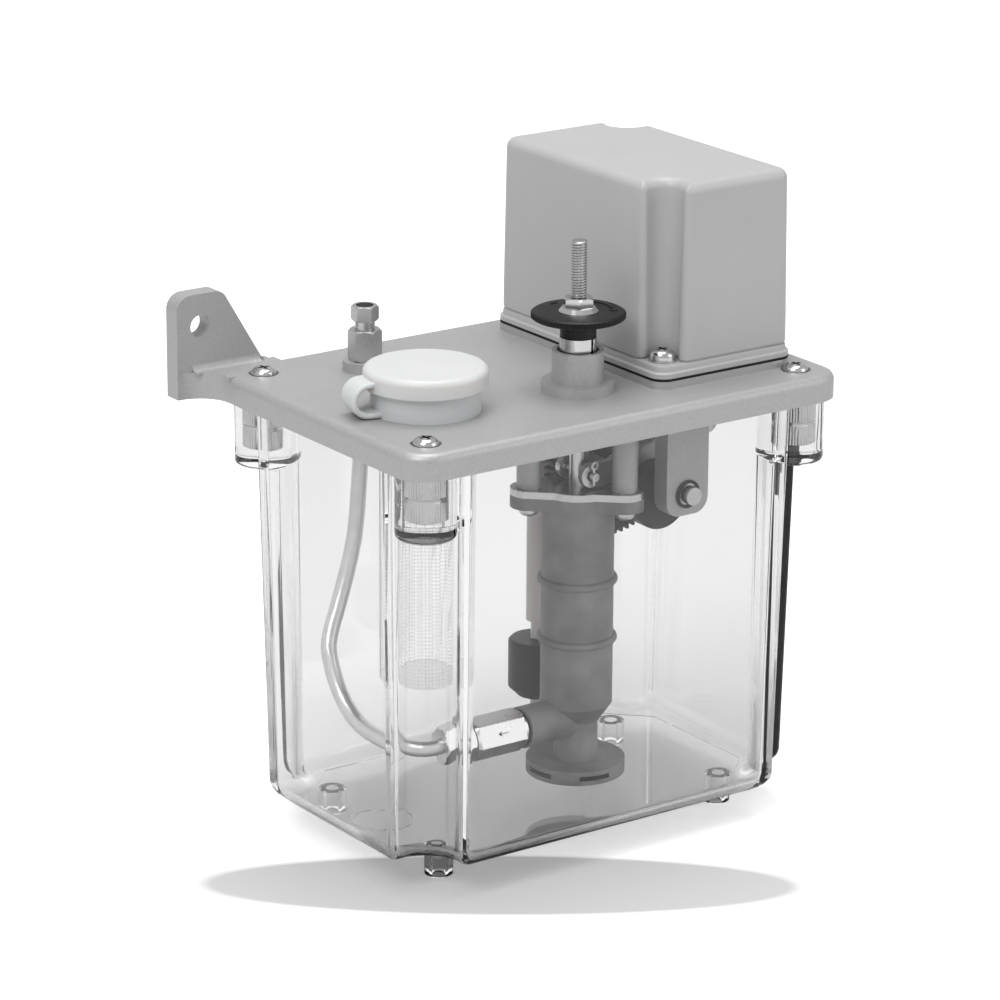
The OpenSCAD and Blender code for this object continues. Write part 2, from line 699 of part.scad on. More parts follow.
module cap_tether() {
    loop_r = 6.8;
    strap_t = 1.8;
    strap_w = 5;
    loop_x = 24;
    color(off_white) at_cover() translate([filler_at.x, filler_at.y, cover_top]) rotate([0, 0, 144.8])
        translate([0, strap_w / 2, 0]) rotate([90, 0, 0]) linear_extrude(strap_w) {
            difference() {
                translate([loop_x, loop_r]) circle(loop_r);
                translate([loop_x, loop_r]) circle(loop_r - strap_t);
                translate([loop_x - 20, -bite]) square([20, 3 * loop_r]);
            }
            translate([collar_r + 0.2, 0]) square([loop_x + 0.2 - collar_r, strap_t]);
            translate([cap_r + 0.15, 2 * loop_r - strap_t]) square([loop_x + 0.1 - cap_r, strap_t]);
        }
}
module filler_strainer() {
    wall = 0.8;
    rim_t = 3;
    color(off_white) at_cover() translate([filler_at.x, filler_at.y, 0]) difference() {
        union() {
            translate([0, 0, strainer_low]) cylinder(r = strainer_r, h = cover_top + collar_h -
                strainer_low - bite);
            translate([0, 0, cover_top + collar_h - rim_t]) cylinder(r = collar_in, h = rim_t);
        }
        translate([0, 0, strainer_low + wall]) cylinder(r = strainer_r - wall, h = strainer_l + 20);
    }
}

// Outlet on the cover: adaptor, top nut and lock nut below
module outlet_adaptor() {
    thread_l = 14;
    hex_af = 11;
    hex_h = 11.7;
    collar_up = 14;
    neck_up = 18;
    color(zinc) at_cover() translate([outlet_at.x, outlet_at.y, cover_top]) difference() {
        union() {
            translate([0, 0, outlet_pad_h]) rotate([0, 0, 25]) hex_bar(hex_af, hex_h);
            translate([0, 0, -thread_l]) cylinder(r = stub_r, h = 20);
            translate([0, 0, collar_up]) cylinder(r = 3.7, h = adaptor_top - collar_up);
            translate([0, 0, neck_up]) cylinder(r = pipe_r, h = 2);
        }
        translate([0, 0, -thread_l - bite]) cylinder(r = 1.6, h = 40);
        translate([0, 0, -thread_l - bite]) cylinder(r = pipe_r + seat, h = 11);
    }
}
module outlet_nut() {
    nut_af = 9;
    nut_h = 5.7;
    neck_h = 1.4;
    color(zinc) at_cover() translate([outlet_at.x, outlet_at.y, cover_top + adaptor_top]) difference() {
        rotate([0, 0, 25]) hex_bar(nut_af, nut_h);
        translate([0, 0, -bite]) cylinder(r = pipe_r + seat, h = nut_h);
        translate([0, 0, neck_h]) cylinder(r = line_r, h = nut_h);
    }
}
module adaptor_nut() {
    color(zinc) at_cover() translate([outlet_at.x, outlet_at.y, plate_low - 5]) difference() {
        hex_bar(14, 5);
        translate([0, 0, -bite]) cylinder(r = stub_r + seat, h = 7);
    }
}
module outlet_pipe() {
    x0 = pump_at.x - valve_end - pipe_nut_l;
    y0 = pump_at.y;
    x1 = outlet_at.x;
    y1 = outlet_at.y;
    bend = smooth([
        [x0 - 2, y0, outlet_z], [x0 - 6.5, y0 + 1, outlet_z], [x0 - 11, y0 + 5, outlet_z], [x0 - 13, y0
            + 12, outlet_z],
        [x0 - 13.2, y0 + 32, outlet_z + 1], [x0 - 13.2, y0 + 45, outlet_z + 9], [x0 - 12.8, y0 + 53,
            outlet_z + 21.5],
        [x0 - 10, y1 - 9, outlet_z + 29], [x0 - 3.2, y1 - 5.5, outlet_z + 41], [x1 - 4.6, y1 - 2,
            outlet_z + 62],
        [x1 - 0.7, y1, outlet_z + 88], [x1, y1, outlet_z + 100]
    ], 3);
    color(light_grey) at_cover() swept_pipe(
        concat([[x0 + 8, y0, outlet_z]], bend, [[x1, y1, cover_top - 4]]), pipe_r, pipe_r - 1, 14);
}

// Delivery side of the pump: check valve and pipe nut
module check_valve() {
    chamber_r = 4;
    color(zinc) at_pump() translate([-outlet_boss_end, 0, outlet_z]) rotate([0, -90, 0]) difference() {
        union() {
            rotate([0, 0, 0]) hex_bar(14, valve_l);
            translate([0, 0, -stub_l]) cylinder(r = stub_r, h = stub_l + bite);
            translate([0, 0, valve_l - bite]) cylinder(r = stub_r, h = 4.5 + bite);
        }
        translate([0, 0, -stub_l - bite]) cylinder(r = 1.8, h = valve_l + stub_l + 10);
        translate([0, 0, 6]) cylinder(r = chamber_r, h = valve_l - 12);
        translate([0, 0, valve_l - 2]) cylinder(r = pipe_r + seat, h = 10);
    }
}
module check_ball() {
    ball_r = 3;
    color(steel) at_pump() translate([-outlet_boss_end - 6 - ball_r, 0, outlet_z]) sphere(r = ball_r);
}
module check_spring() {
    wire_r = 0.4;
    color(steel) at_pump() translate([-outlet_boss_end - 12, 0, outlet_z]) rotate([0, -90, 0])
        swept_rod(coil(2.6, 0.5, wire_r, valve_l - 18 - wire_r, 4, 12), wire_r, 6);
}
module pipe_nut() {
    color(zinc) at_pump() translate([-valve_end, 0, outlet_z]) rotate([0, -90, 0]) difference() {
        rotate([0, 0, 30]) hex_bar(13, pipe_nut_l);
        translate([0, 0, -bite]) cylinder(r = pipe_r + seat, h = pipe_nut_l + 2 * bite);
        translate([0, 0, -bite]) cylinder(r = stub_r + seat, h = 4.5 + bite);
    }
}

// Plan of the pump's flange and of the steel plate on it
module flange_plan(h) {
    difference() {
        rotate([0, 0, pump_turn]) linear_extrude(h) {
            for (s = [-1, 1]) translate([s * post_out, -post_front]) circle(post_pad_r);
            translate([-post_out, -post_front - post_pad_r]) square([2 * post_out, 2 * post_pad_r]);
            circle(barrel_r + 0.6);
            polygon([[-post_out - 6, -2], [post_out + 6, -2], [9.5, barrel_r - 3.2], [-9.5, barrel_r -
                3.2]]);
        }
        translate([cam_x - cam_reach - 0.5 - pump_at.x, lug_front - pump_at.y, -bite]) cube([40, 60, h
            + 2 * bite]);
        rotate([0, 0, pump_turn]) for (s = [-1, 1]) translate([s * post_out, -post_front, -bite])
            cylinder(r = m4_r + slack, h = h + 2 * bite);
    }
}
module pump_cylinder() {
    bead_r = barrel_r + 1.5;
    bead_h = 3;
    taper = 6.5;
    color(raw_cast) at_pump() difference() {
        union() {
            translate([0, 0, flange_low]) flange_plan(flange_t);
            rotate_extrude() polygon([[0, foot_disc_hi], [neck_r, foot_disc_hi], [neck_r, barrel_low],
                [barrel_r - 4.4, barrel_low],
                [barrel_r, barrel_low + taper], [barrel_r, flange_low + bite], [0, flange_low + bite]]);
            for (z = [barrel_low + 31.8, barrel_low + 54.5]) translate([0, 0, z - bead_h / 2])
                rotate_extrude() polygon(concat([[0, 0]],
                    arc([bead_r - bead_h / 2, bead_h / 2], bead_h / 2, -90, 90, 8), [[0, bead_h]]));
            along_x(-outlet_boss_end, 0, outlet_z) cylinder(r = outlet_boss_r, h = outlet_boss_end);
        }
        translate([0, 0, piston_low - 6]) cylinder(r = bore_r, h = 200);
        translate([0, 0, foot_disc_hi - bite]) cylinder(r = 2, h = 60);
        translate([0, 0, foot_disc_hi + 5]) cylinder(r = 4.5, h = piston_low - foot_disc_hi - 5);
        along_x(-outlet_boss_end - bite, 0, outlet_z) cylinder(r = stub_r + seat, h = stub_l + bite);
        along_x(-outlet_boss_end, 0, outlet_z) cylinder(r = 1.8, h = outlet_boss_end);
    }
}
module cylinder_plate() {
    color(steel) at_pump() translate([0, 0, flange_hi]) difference() {
        flange_plan(pump_plate_t);
        translate([0, 0, -bite]) cylinder(r = piston_rod_r + run, h = pump_plate_t + 2 * bite);
    }
}
module pump_washers() {
    color(steel) at_posts() translate([0, 0, flange_low - 0.8]) ring(4.4, m4_r + slack, 0.8);
}
module pump_screws() {
    grip = 0.8 + flange_t + pump_plate_t + 8;
    color(steel) at_posts() translate([0, 0, flange_low - 0.8]) mirror([0, 0, 1]) pan_screw(m4_r, grip,
        3.8, 2.8);
}
module suction_strainer() {
    slot_w = 12;
    color(raw_cast) at_pump() translate([0, 0, foot_disc_hi - foot_disc_t]) difference() {
        cylinder(r = foot_disc_r, h = foot_disc_t);
        translate([0, 0, bite]) cylinder(r = foot_disc_r - 2, h = foot_disc_t - 2 * bite);
        for (a = [-30:72:300]) rotate([0, 0, a]) translate([foot_disc_r - 4, -slot_w / 2, foot_disc_t /
            2 - 0.9]) cube([8, slot_w, 1.8]);
        translate([0, 0, bite]) cylinder(r = foot_bore_r, h = foot_disc_t);
    }
}
module suction_ball() {
    color(steel) at_pump() translate([0, 0, foot_disc_hi + 8]) sphere(r = 3);
}

// Plunger with its spring, cross pin and the knob that sets the stroke
module plunger_rod() {
    color(steel) at_pump() difference() {
        union() {
            translate([0, 0, piston_low]) cylinder(r = piston_rod_r, h = sleeve_low - piston_low);
            translate([0, 0, sleeve_low]) cylinder(r = rod_r, h = rod_top - sleeve_low);
        }
        along_y(0, -10, pin_z) cylinder(r = pin_r + seat, h = 20);
    }
}
module piston() {
    groove = 1.4;
    color(steel) at_pump() difference() {
        translate([0, 0, piston_low]) cylinder(r = bore_r - run, h = piston_h);
        translate([0, 0, piston_low - bite]) cylinder(r = piston_rod_r + seat, h = piston_h + 2 * bite);
        translate([0, 0, piston_low + 4]) ring(bore_r + 1, bore_r - groove, 2);
    }
}
module piston_seal() {
    color(black) at_pump() translate([0, 0, piston_low + 4]) ring(bore_r - run, bore_r - 1.4, 2);
}
module main_spring() {
    wire_r = 0.8;
    color(steel) at_pump()
        swept_rod(coil(5.9, 0.75, piston_top + wire_r, flange_hi - wire_r, 11, 12), wire_r, 8);
}
module cross_pin() {
    color(steel) at_pump() difference() {
        along_y(0, -pin_half, pin_z) cylinder(r = pin_r, h = 2 * pin_half);
        translate([0, -pin_half + 1.3, pin_z - 5]) cylinder(r = 0.5 + seat, h = 10);
    }
}
module split_pin() {
    color(steel) at_pump() translate([0, -pin_half + 1.3, pin_z - 3.2]) {
        cylinder(r = 0.5, h = 6.2);
        along_y(0, -0.5, 7.4) ring(1.6, 0.8, 1);
    }
}
module split_sleeve() {
    slit = 1;
    color(steel) at_pump() translate([0, 0, sleeve_low]) difference() {
        ring(sleeve_r, rod_r + seat, hub_low - sleeve_low);
        rotate([0, 0, -78]) translate([0, -slit / 2, -bite]) cube([20, slit, 40]);
    }
}
module adjusting_knob() {
    color(black) at_pump() difference() {
        union() {
            translate([0, 0, hub_low]) cylinder(r = hub_r, h = knob_hi - hub_low);
            translate([0, 0, knob_hi - knob_t]) rotate_extrude() polygon([[0, 0], [knob_r - 0.5, 0],
                [knob_r, 0.5],
                [knob_r, knob_t - 0.5], [knob_r - 0.5, knob_t], [0, knob_t]]);
        }
        translate([0, 0, hub_low - bite]) cylinder(r = rod_r + run, h = 20);
    }
}
module lock_nut() {
    color(steel) at_pump() translate([0, 0, knob_hi]) difference() {
        union() {
            hex_bar(10, 5);
            cylinder(r1 = 7.25, r2 = 6, h = 1.4);
        }
        translate([0, 0, -bite]) cylinder(r = rod_r + seat, h = 7);
    }
}
module rod_bush() {
    color(black) at_pump() difference() {
        union() {
            translate([0, 0, plate_low]) cylinder(r = bush_r, h = bush_hi - plate_low);
            translate([0, 0, bush_hi]) cylinder(r = mouth_r - seat, h = 1.4);
        }
        translate([0, 0, plate_low - bite]) cylinder(r = piston_rod_r + run, h = 20);
    }
}

// Forked lever that the eccentric lifts, and the pin it rocks on
module lever_arm() {
    difference() {
        union() {
            cylinder(r = eye_r, h = arm_t);
            children();
        }
        for (x = [-0.4, 2]) translate([x, 0, -bite]) cylinder(r = pin_r + slack, h = arm_t + 2 * bite);
        translate([-0.4, -pin_r - slack, -bite]) cube([2.4, 2 * (pin_r + slack), arm_t + 2 * bite]);
    }
}
module lever() {
    shoe = shoe_z - pin_z;
    px = pivot_x - pump_at.x;
    pz = pivot_z - pin_z;
    cx = cam_x - pump_at.x;
    color(zinc) at_pump() difference() {
        union() {
            translate([0, arm_t - arm_out - arm_t, pin_z]) rotate([90, 0, 0]) lever_arm()
                linear_extrude(arm_t) polygon([
                [0, -eye_r], [9, -eye_r], [12.6, -3.2], [cx - 14, shoe - 5], [cx - 9, shoe - 1.4], [cx
                    - 4, shoe], [cx + 5, shoe],
                [px - 4, pz - 4], [px, pz - hub_out_r], [px + 4.5, pz + 2.5], [px, pz + hub_out_r],
                [cx - 8, shoe + 8.4], [cx - 13, shoe + 6.4], [cx - 19, shoe - 1.4], [8, eye_r], [0, eye_r]
            ]);
            translate([0, arm_out + arm_t, pin_z]) rotate([90, 0, 0]) lever_arm()
                linear_extrude(arm_t) polygon([[0, -eye_r], [11.5, -eye_r], [11.5, eye_r - 1], [7,
                    eye_r], [0, eye_r]]);
            translate([8.5, -arm_out - arm_t, pin_z - 3.6]) cube([3, 2 * (arm_out + arm_t), 6.4]);
            along_y(px, -arm_out - arm_t, pivot_z) cylinder(r = hub_out_r, h = rear_front - slack -
                lever_front);
        }
        along_y(px, -arm_out - arm_t - bite, pivot_z) cylinder(r = pivot_r + run, h = 30);
    }
}
module lever_pivot() {
    head_t = 1.6;
    color(steel) at_cover() union() {
        along_y(pivot_x, lever_front - slack, pivot_z) cylinder(r = pivot_r, h = rear_front + rear_t -
            lever_front + slack);
        along_y(pivot_x, lever_front - slack - head_t, pivot_z) cylinder(r = 4.2, h = head_t);
    }
}

// Camshaft with eccentric and worm wheel
module camshaft() {
    proud = 4.2;
    color(steel) at_cover() along_y(cam_x, lug_front - proud, cam_z)
        cylinder(r = shaft_r, h = wheel_front + wheel_t + bite - lug_front + proud);
}
module shaft_bushes() {
    color(dark_steel) at_cover() {
        along_y(cam_x, lug_front, cam_z) ring(bush_out_r, shaft_r + run, lug_t);
        along_y(cam_x, rear_front, cam_z) ring(bush_out_r, shaft_r + run, rear_t);
    }
}
module eccentric() {
    color(dark_steel) at_cover() difference() {
        union() {
            along_y(cam_x + throw * cos(cam_rest), cam_front, cam_z + throw * sin(cam_rest)) cylinder(r
                = eccentric_r, h = cam_t);
            along_y(cam_x, cam_front + cam_t - bite, cam_z) cylinder(r = 6, h = 4 + bite);
        }
        along_y(cam_x, cam_front - bite, cam_z) cylinder(r = shaft_r + seat, h = cam_t + 10);
    }
}
module worm_wheel() {
    tip = wheel_r + gear_m;
    root = wheel_r - 1.2 * gear_m;
    step = 360 / wheel_teeth;
    hub_l = 8;
    color(black) at_cover() along_y(cam_x, wheel_front, cam_z) difference() {
        union() {
            linear_extrude(wheel_t) polygon([for (i = [0:wheel_teeth - 1], k = [0:3])
                let (a = step * (i + [0.22, 0.36, 0.64, 0.78][k]), r = (k == 0 || k == 3) ? root : tip)
                    r * [cos(a), sin(a)]]);
            translate([0, 0, -hub_l]) cylinder(r = 7, h = hub_l + bite);
        }
        translate([0, 0, -hub_l - bite]) cylinder(r = shaft_r + seat, h = 20);
        translate([0, 0, -bite]) ring(wheel_r - 4, 10, 2 * bite);
        translate([0, 0, wheel_t - bite]) ring(wheel_r - 4, 10, 2 * bite);
    }
}

// Worm on its shaft, driven by the motor above the cover
module worm_shaft() {
    low = cam_z - worm_len / 2 - 8;
    tip = worm_r + 0.65;
    root = worm_r - 1.15;
    crest = 34;
    base = 74;
    z0 = cam_z - worm_len / 2;
    turns = worm_len / worm_lead;
    color(steel) at_cover() translate([worm_x, worm_y, 0]) {
        translate([0, 0, low]) cylinder(r = worm_shaft_r, h = z0 + bite - low);
        translate([0, 0, z0 + worm_len - bite]) cylinder(r = worm_shaft_r, h = mount_z + 10 + bite - z0
            - worm_len);
        stack([for (i = [0:16 * turns]) let (f = i / 16 / turns, a = 180 + 360 * turns * (f - 0.5))
            at_level(concat(arc([0, 0], tip, a - crest, a + crest, 4), arc([0, 0], root, a + base, a +
                360 - base, 10)),
                z0 + worm_len * f)]);
    }
}
module motor() {
    top = mount_z + motor_plate_t + can_h;
    color(steel) at_cover() difference() {
        union() {
            translate([motor_x, motor_y, mount_z]) {
                cylinder(r = can_r, h = motor_plate_t + can_h);
                translate([-6, -motor_ear_y, 0]) cube([12, 2 * motor_ear_y, motor_plate_t]);
                for (s = [-1, 1]) translate([0, s * motor_ear_y, 0]) cylinder(r = 6, h = motor_plate_t);
            }
            translate([motor_x - 10, motor_y - 7, top - bite]) cube([20, 14, 8 + bite]);
        }
        for (s = [-1, 1]) translate([motor_x, motor_y + s * motor_ear_y, mount_z - bite]) cylinder(r =
            m4_r + slack, h = 10);
        translate([worm_x, worm_y, mount_z - bite]) cylinder(r = worm_shaft_r + run, h = 13);
    }
}
module motor_screws() {
    color(steel) at_motor() for (s = [-1, 1]) translate([0, s * motor_ear_y, mount_z + motor_plate_t])
        pan_screw(m4_r, 6, 3.8, 2.8);
}
// Solid corner under a screw, its outer faces just inside the drafted walls
module shell_ledge() {
    in = 0.15;
    reach = [motor_w / 2 - notch_at.x - in, motor_d / 2 - notch_at.y - in];
    intersection() {
        cylinder(r = notch_r + bite, h = (ledge_h - bite / 2));
        translate([-20, -20, 0]) cube([20 + reach.x, 20 + reach.y, (ledge_h - bite / 2)]);
        linear_extrude((ledge_h - bite / 2)) {
            translate([-20, -20]) square([20 + reach.x - motor_r, 20 + reach.y]);
            translate([-20, -20]) square([20 + reach.x, 20 + reach.y - motor_r]);
            translate([reach.x - motor_r, reach.y - motor_r]) circle(motor_r);
        }
    }
}
module motor_cover() {
    color(cast_grey) at_motor() difference() {
        union() {
            difference() {
                union() {
                    shell_body(concat([[shell_low + bite, 0]], top_edge(shell_hi, motor_soft, 0)));
                    for (a = [0, 180]) rotate([0, 0, a]) translate([notch_at.x, notch_at.y, shell_low +
                        bite / 2]) shell_ledge();
                    translate([0, 0, shell_low])
                        slab(motor_w + 2 * motor_lip, motor_d + 2 * motor_lip, motor_r + motor_lip,
                            motor_lip_h);
                }
                shell_body(concat([[shell_low - bite, motor_t]], top_edge(shell_hi - motor_t, 2, motor_t)));
            }
            along_x(motor_w / 2 - motor_t - 1.6, gland_y - motor_y, gland_z) cylinder(r = gland_pad_r,
                h = motor_t + 1.6);
        }
        for (s = [-1, 1]) translate([s * notch_at.x, s * notch_at.y, shell_low - bite]) cylinder(r =
            screw_r + slack, h = 10);
        along_x(motor_w / 2 - 10, gland_y - motor_y, gland_z) cylinder(r = gland_r + seat, h = 20);
    }
}
module motor_gasket() {
    rim = 3;
    color(black) at_motor() translate([0, 0, mount_z]) difference() {
        slab(motor_w + 2 * motor_lip, motor_d + 2 * motor_lip, motor_r + motor_lip, motor_gasket_t);
        difference() {
            translate([0, 0, -bite]) slab(motor_w - 2 * rim, motor_d - 2 * rim, 3, 4);
            for (s = [-1, 1]) translate([s * notch_at.x, s * notch_at.y, -bite]) cylinder(r = 9, h = 4);
        }
        for (s = [-1, 1]) translate([s * notch_at.x, s * notch_at.y, -bite]) cylinder(r = screw_r +
            slack, h = 4);
    }
}
module motor_cover_washers() {
    color(steel) at_motor_screws() translate([0, 0, shell_low + ledge_h]) ring(5.2, screw_r + slack, 1);
}
module motor_cover_screws() {
    color(steel) at_motor_screws() translate([0, 0, shell_low + ledge_h + 1]) pan_screw(screw_r, 11,
        screw_head_r, screw_head_h);
}
module cable_gland() {
    face = motor_w / 2;
    hex_t = 5;
    color(black) at_motor() along_x(face, gland_y - motor_y, gland_z) difference() {
        union() {
            hex_bar(17, hex_t);
            translate([0, 0, -10]) cylinder(r = gland_r, h = 10 + bite);
            translate([0, 0, hex_t - bite]) rotate_extrude() polygon([[0, 0], [7.8, 0], [7.8, 6], [6.6,
                9], [0, 9]]);
        }
        translate([0, 0, -11]) cylinder(r = 3.5, h = 40);
    }
}
module gland_nut() {
    face = motor_w / 2 - motor_t - 1.6;
    color(black) at_motor() along_x(face - 3.5, gland_y - motor_y, gland_z) difference() {
        hex_bar(16, 3.5);
        translate([0, 0, -bite]) cylinder(r = gland_r + seat, h = 6);
    }
}

// Level float on its stem
module float_stem() {
    shoulder = float_low + float_h + float_travel + 0.8;
    low = float_low - clip_t - 3.5;
    color(off_white) at_cover() translate([float_at.x, float_at.y, 0]) {
        translate([0, 0, shoulder]) cylinder(r = stem_r, h = plate_low - shoulder);
        translate([0, 0, low]) cylinder(r = stem_pin_r, h = shoulder - low + bite);
    }
}
module float() {
    edge = 3.5;
    color(black) at_cover() translate([float_at.x, float_at.y, float_low]) difference() {
        rotate_extrude() polygon([[0, 0], [float_r - edge, 0], [float_r, edge], [float_r, float_h - 1],
            [float_r - 1, float_h],
            [0, float_h]]);
        translate([0, 0, -bite]) cylinder(r = stem_pin_r + run, h = float_h + 2 * bite);
    }
}
module float_clip() {
    color(steel) at_cover() translate([float_at.x, float_at.y, float_low - clip_t]) ring(4.6,
        stem_pin_r + seat, clip_t);
}

// Draw every part, or the one that is asked for
tank();
tank_inserts();
cover();
cover_gasket();
cover_screws();
filler_collar();
filler_cap();
cap_tether();
filler_strainer();
outlet_adaptor();
outlet_nut();
adaptor_nut();
outlet_pipe();
pipe_nut();
check_valve();
check_ball();
check_spring();
pump_cylinder();
cylinder_plate();
pump_screws();
pump_washers();
suction_strainer();
suction_ball();
piston();
piston_seal();
main_spring();
plunger_rod();
cross_pin();
split_pin();
split_sleeve();
adjusting_knob();
lock_nut();
rod_bush();
lever();
lever_pivot();
camshaft();
eccentric();
worm_wheel();
shaft_bushes();
worm_shaft();
motor();
motor_screws();
motor_cover();
motor_gasket();
motor_cover_screws();
motor_cover_washers();
cable_gland();
gland_nut();
float_stem();
float();
float_clip();
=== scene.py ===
# %% [markdown]
# An oil dispensing pump hangs on a wall and sends a measured shot of oil at every turn of its camshaft.
# Its clear tank, cast cover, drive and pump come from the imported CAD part, which is the fixed frame here.
# We load it first, and note its box, so that nothing we add later makes the pump bigger than it is.

import json
import math

import bmesh
import bpy
from mathutils import Matrix, Vector


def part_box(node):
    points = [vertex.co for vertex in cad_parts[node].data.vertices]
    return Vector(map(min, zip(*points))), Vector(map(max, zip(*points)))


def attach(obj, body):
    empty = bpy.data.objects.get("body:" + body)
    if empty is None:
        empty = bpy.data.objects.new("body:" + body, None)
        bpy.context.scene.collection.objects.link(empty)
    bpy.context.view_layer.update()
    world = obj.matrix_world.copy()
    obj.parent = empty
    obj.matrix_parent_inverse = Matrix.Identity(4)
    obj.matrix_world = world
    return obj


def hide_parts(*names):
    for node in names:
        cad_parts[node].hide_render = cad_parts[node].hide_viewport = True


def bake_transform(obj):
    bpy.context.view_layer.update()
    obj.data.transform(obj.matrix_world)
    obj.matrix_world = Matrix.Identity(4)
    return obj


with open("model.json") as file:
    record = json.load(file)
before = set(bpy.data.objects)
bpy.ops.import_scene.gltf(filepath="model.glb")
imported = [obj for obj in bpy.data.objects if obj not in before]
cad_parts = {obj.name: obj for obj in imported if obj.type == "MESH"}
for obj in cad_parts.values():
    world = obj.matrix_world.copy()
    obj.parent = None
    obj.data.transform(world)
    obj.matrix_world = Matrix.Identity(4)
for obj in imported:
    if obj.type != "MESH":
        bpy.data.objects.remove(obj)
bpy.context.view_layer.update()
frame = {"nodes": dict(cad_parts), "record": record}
nodes = frame["nodes"]

# %% [markdown]
# The picture was taken from the left and above with a long lens, from about 1.6 m away.
# A camera's matrix holds its right, up and back directions as columns, so those three go straight in.

# %% Camera
RIGHT = Vector((0.8169037, -0.5767435, 0.005942))
DOWN = Vector((-0.1730907, -0.2549681, -0.9513311))
FORWARD = Vector((0.550189, 0.7761174, -0.3081133))
CAMERA_AT = Vector((-0.909199, -1.268339, 0.626999))
LENS = 158.75
PUMP_MIDDLE = Vector((0, 0, 0.12))
camera_data = bpy.data.cameras.new("photo_camera")
camera_data.sensor_width = 36
camera_data.lens = LENS
camera_data.clip_end = 50
camera = bpy.data.objects.new("photo_camera", camera_data)
bpy.context.scene.collection.objects.link(camera)
camera.matrix_world = Matrix.Translation(CAMERA_AT) @ Matrix((RIGHT, -DOWN, -FORWARD)).transposed().to_4x4()
bpy.context.scene.camera = camera
bpy.context.scene.view_settings.view_transform = "Standard"
print("camera stands", round((CAMERA_AT - PUMP_MIDDLE).length, 2), "m away")

# %% [markdown]
# Node trees get long when every socket is wired by hand. These helpers keep each recipe to a few lines:
# one adds a node and fills its inputs, and one starts a material with its shader.

# %% Material helpers
def add(tree, kind, **inputs):
    """Adds a node. Inputs are set by name, an underscore stands for a space, and a socket makes a link."""
    node = tree.nodes.new(kind)
    for key, value in inputs.items():
        name = key.replace("_", " ")
        if name in node.inputs:
            if isinstance(value, bpy.types.NodeSocket):
                tree.links.new(value, node.inputs[name])
            else:
                node.inputs[name].default_value = value
        else:
            setattr(node, key, value)
    return node


def even(value):
    """One linear value for red, green and blue."""
    return (value, value, value, 1)


def grey(level):
    """A grey as a colour: level is how bright it looks on screen, from 0 to 1."""
    return even(((level + 0.055) / 1.055) ** 2.4 if level > 0.04 else level / 12.92)


def start(name, **inputs):
    """A new material with a principled shader, and its node tree."""
    material = bpy.data.materials.new(name)
    material.use_nodes = True
    tree = material.node_tree
    shader = tree.nodes["Principled BSDF"]
    for key, value in inputs.items():
        shader.inputs[key.replace("_", " ")].default_value = value
    return material, tree, shader


def noise(tree, scale):
    """Noise laid through the object's own space, so it needs no unwrapping."""
    place = add(tree, "ShaderNodeTexCoord").outputs["Object"]
    return add(tree, "ShaderNodeTexNoise", Vector=place, Scale=scale, Detail=3.0, Roughness=0.55).outputs[0]


def ramp(tree, value, stops):
    """Turns a value into a colour or a level by (position, colour) stops."""
    node = add(tree, "ShaderNodeValToRGB", Fac=value)
    line = node.color_ramp
    line.elements[0].position, line.elements[0].color = stops[0]
    line.elements[1].position, line.elements[1].color = stops[-1]
    for position, colour in stops[1:-1]:
        line.elements.new(position).color = colour
    return node.outputs[0]


def bump(tree, shader, height, strength, distance):
    """Small surface relief, distance in metres."""
    node = add(tree, "ShaderNodeBump", Height=height, Strength=strength, Distance=distance)
    tree.links.new(node.outputs[0], shader.inputs["Normal"])


def mottled(name, low, high, scale, rough=(0.4, 0.5), metallic=0.0, relief=0.0, relief_scale=None, **inputs):
    """A surface whose grey and gloss wander a little, with fine relief."""
    material, tree, shader = start(name, Metallic=metallic, **inputs)
    wander = noise(tree, scale)
    tree.links.new(ramp(tree, wander, [(0.3, grey(low)), (0.7, grey(high))]), shader.inputs["Base Color"])
    tree.links.new(ramp(tree, wander, [(0.3, even(rough[0])), (0.7, even(rough[1]))]), shader.inputs["Roughness"])
    if relief:
        bump(tree, shader, noise(tree, relief_scale), 0.6, relief)
    return material


print("a grey that looks half bright is", round(grey(0.5)[0], 3), "in linear light")

# %% [markdown]
# The pump is made of few materials: enamelled casting, satin plastic, bright and dull metal, black and natural
# plastic, and clear acrylic. Each finish is a grey that wanders a little, with its own gloss, since a flat grey looks
# like a drawing. The clear acrylic lets light through and bends it, which draws the tank's dark and bright edges.

# %% Finishes
finish = {
    "cast": mottled("enamelled_casting", 0.655, 0.695, 900, (0.36, 0.48), metallic=0.35,
                    relief=0.00003, relief_scale=3200),
    "housing": mottled("satin_housing", 0.68, 0.69, 40, (0.36, 0.4), relief=0.000008, relief_scale=2400),
    "raw_cast": mottled("bare_casting", 0.42, 0.60, 45, (0.5, 0.68), metallic=0.25,
                        relief=0.00002, relief_scale=3600),
    "steel": mottled("bright_steel", 0.72, 0.77, 60, (0.24, 0.29), metallic=1.0),
    "dark_steel": mottled("oiled_steel", 0.14, 0.22, 120, (0.4, 0.55), metallic=0.4),
    "zinc": mottled("dull_plated_brass", 0.76, 0.80, 120, (0.26, 0.32), metallic=1.0),
    "chrome": mottled("bright_plating", 0.80, 0.84, 60, (0.12, 0.16), metallic=1.0),
    "black_plastic": mottled("black_moulding", 0.045, 0.07, 160, (0.42, 0.5), Specular_IOR_Level=0.35),
    "white_plastic": mottled("natural_moulding", 0.795, 0.805, 60, (0.38, 0.42), Subsurface_Weight=0.1),
    "rubber": mottled("black_rubber", 0.06, 0.09, 200, (0.55, 0.7), Specular_IOR_Level=0.3),
    "tube": mottled("pale_oil_pipe", 0.80, 0.84, 200, (0.3, 0.36), metallic=0.75),
    "mesh": mottled("pale_mesh", 0.84, 0.88, 160, (0.6, 0.7), Alpha=0.15),
}
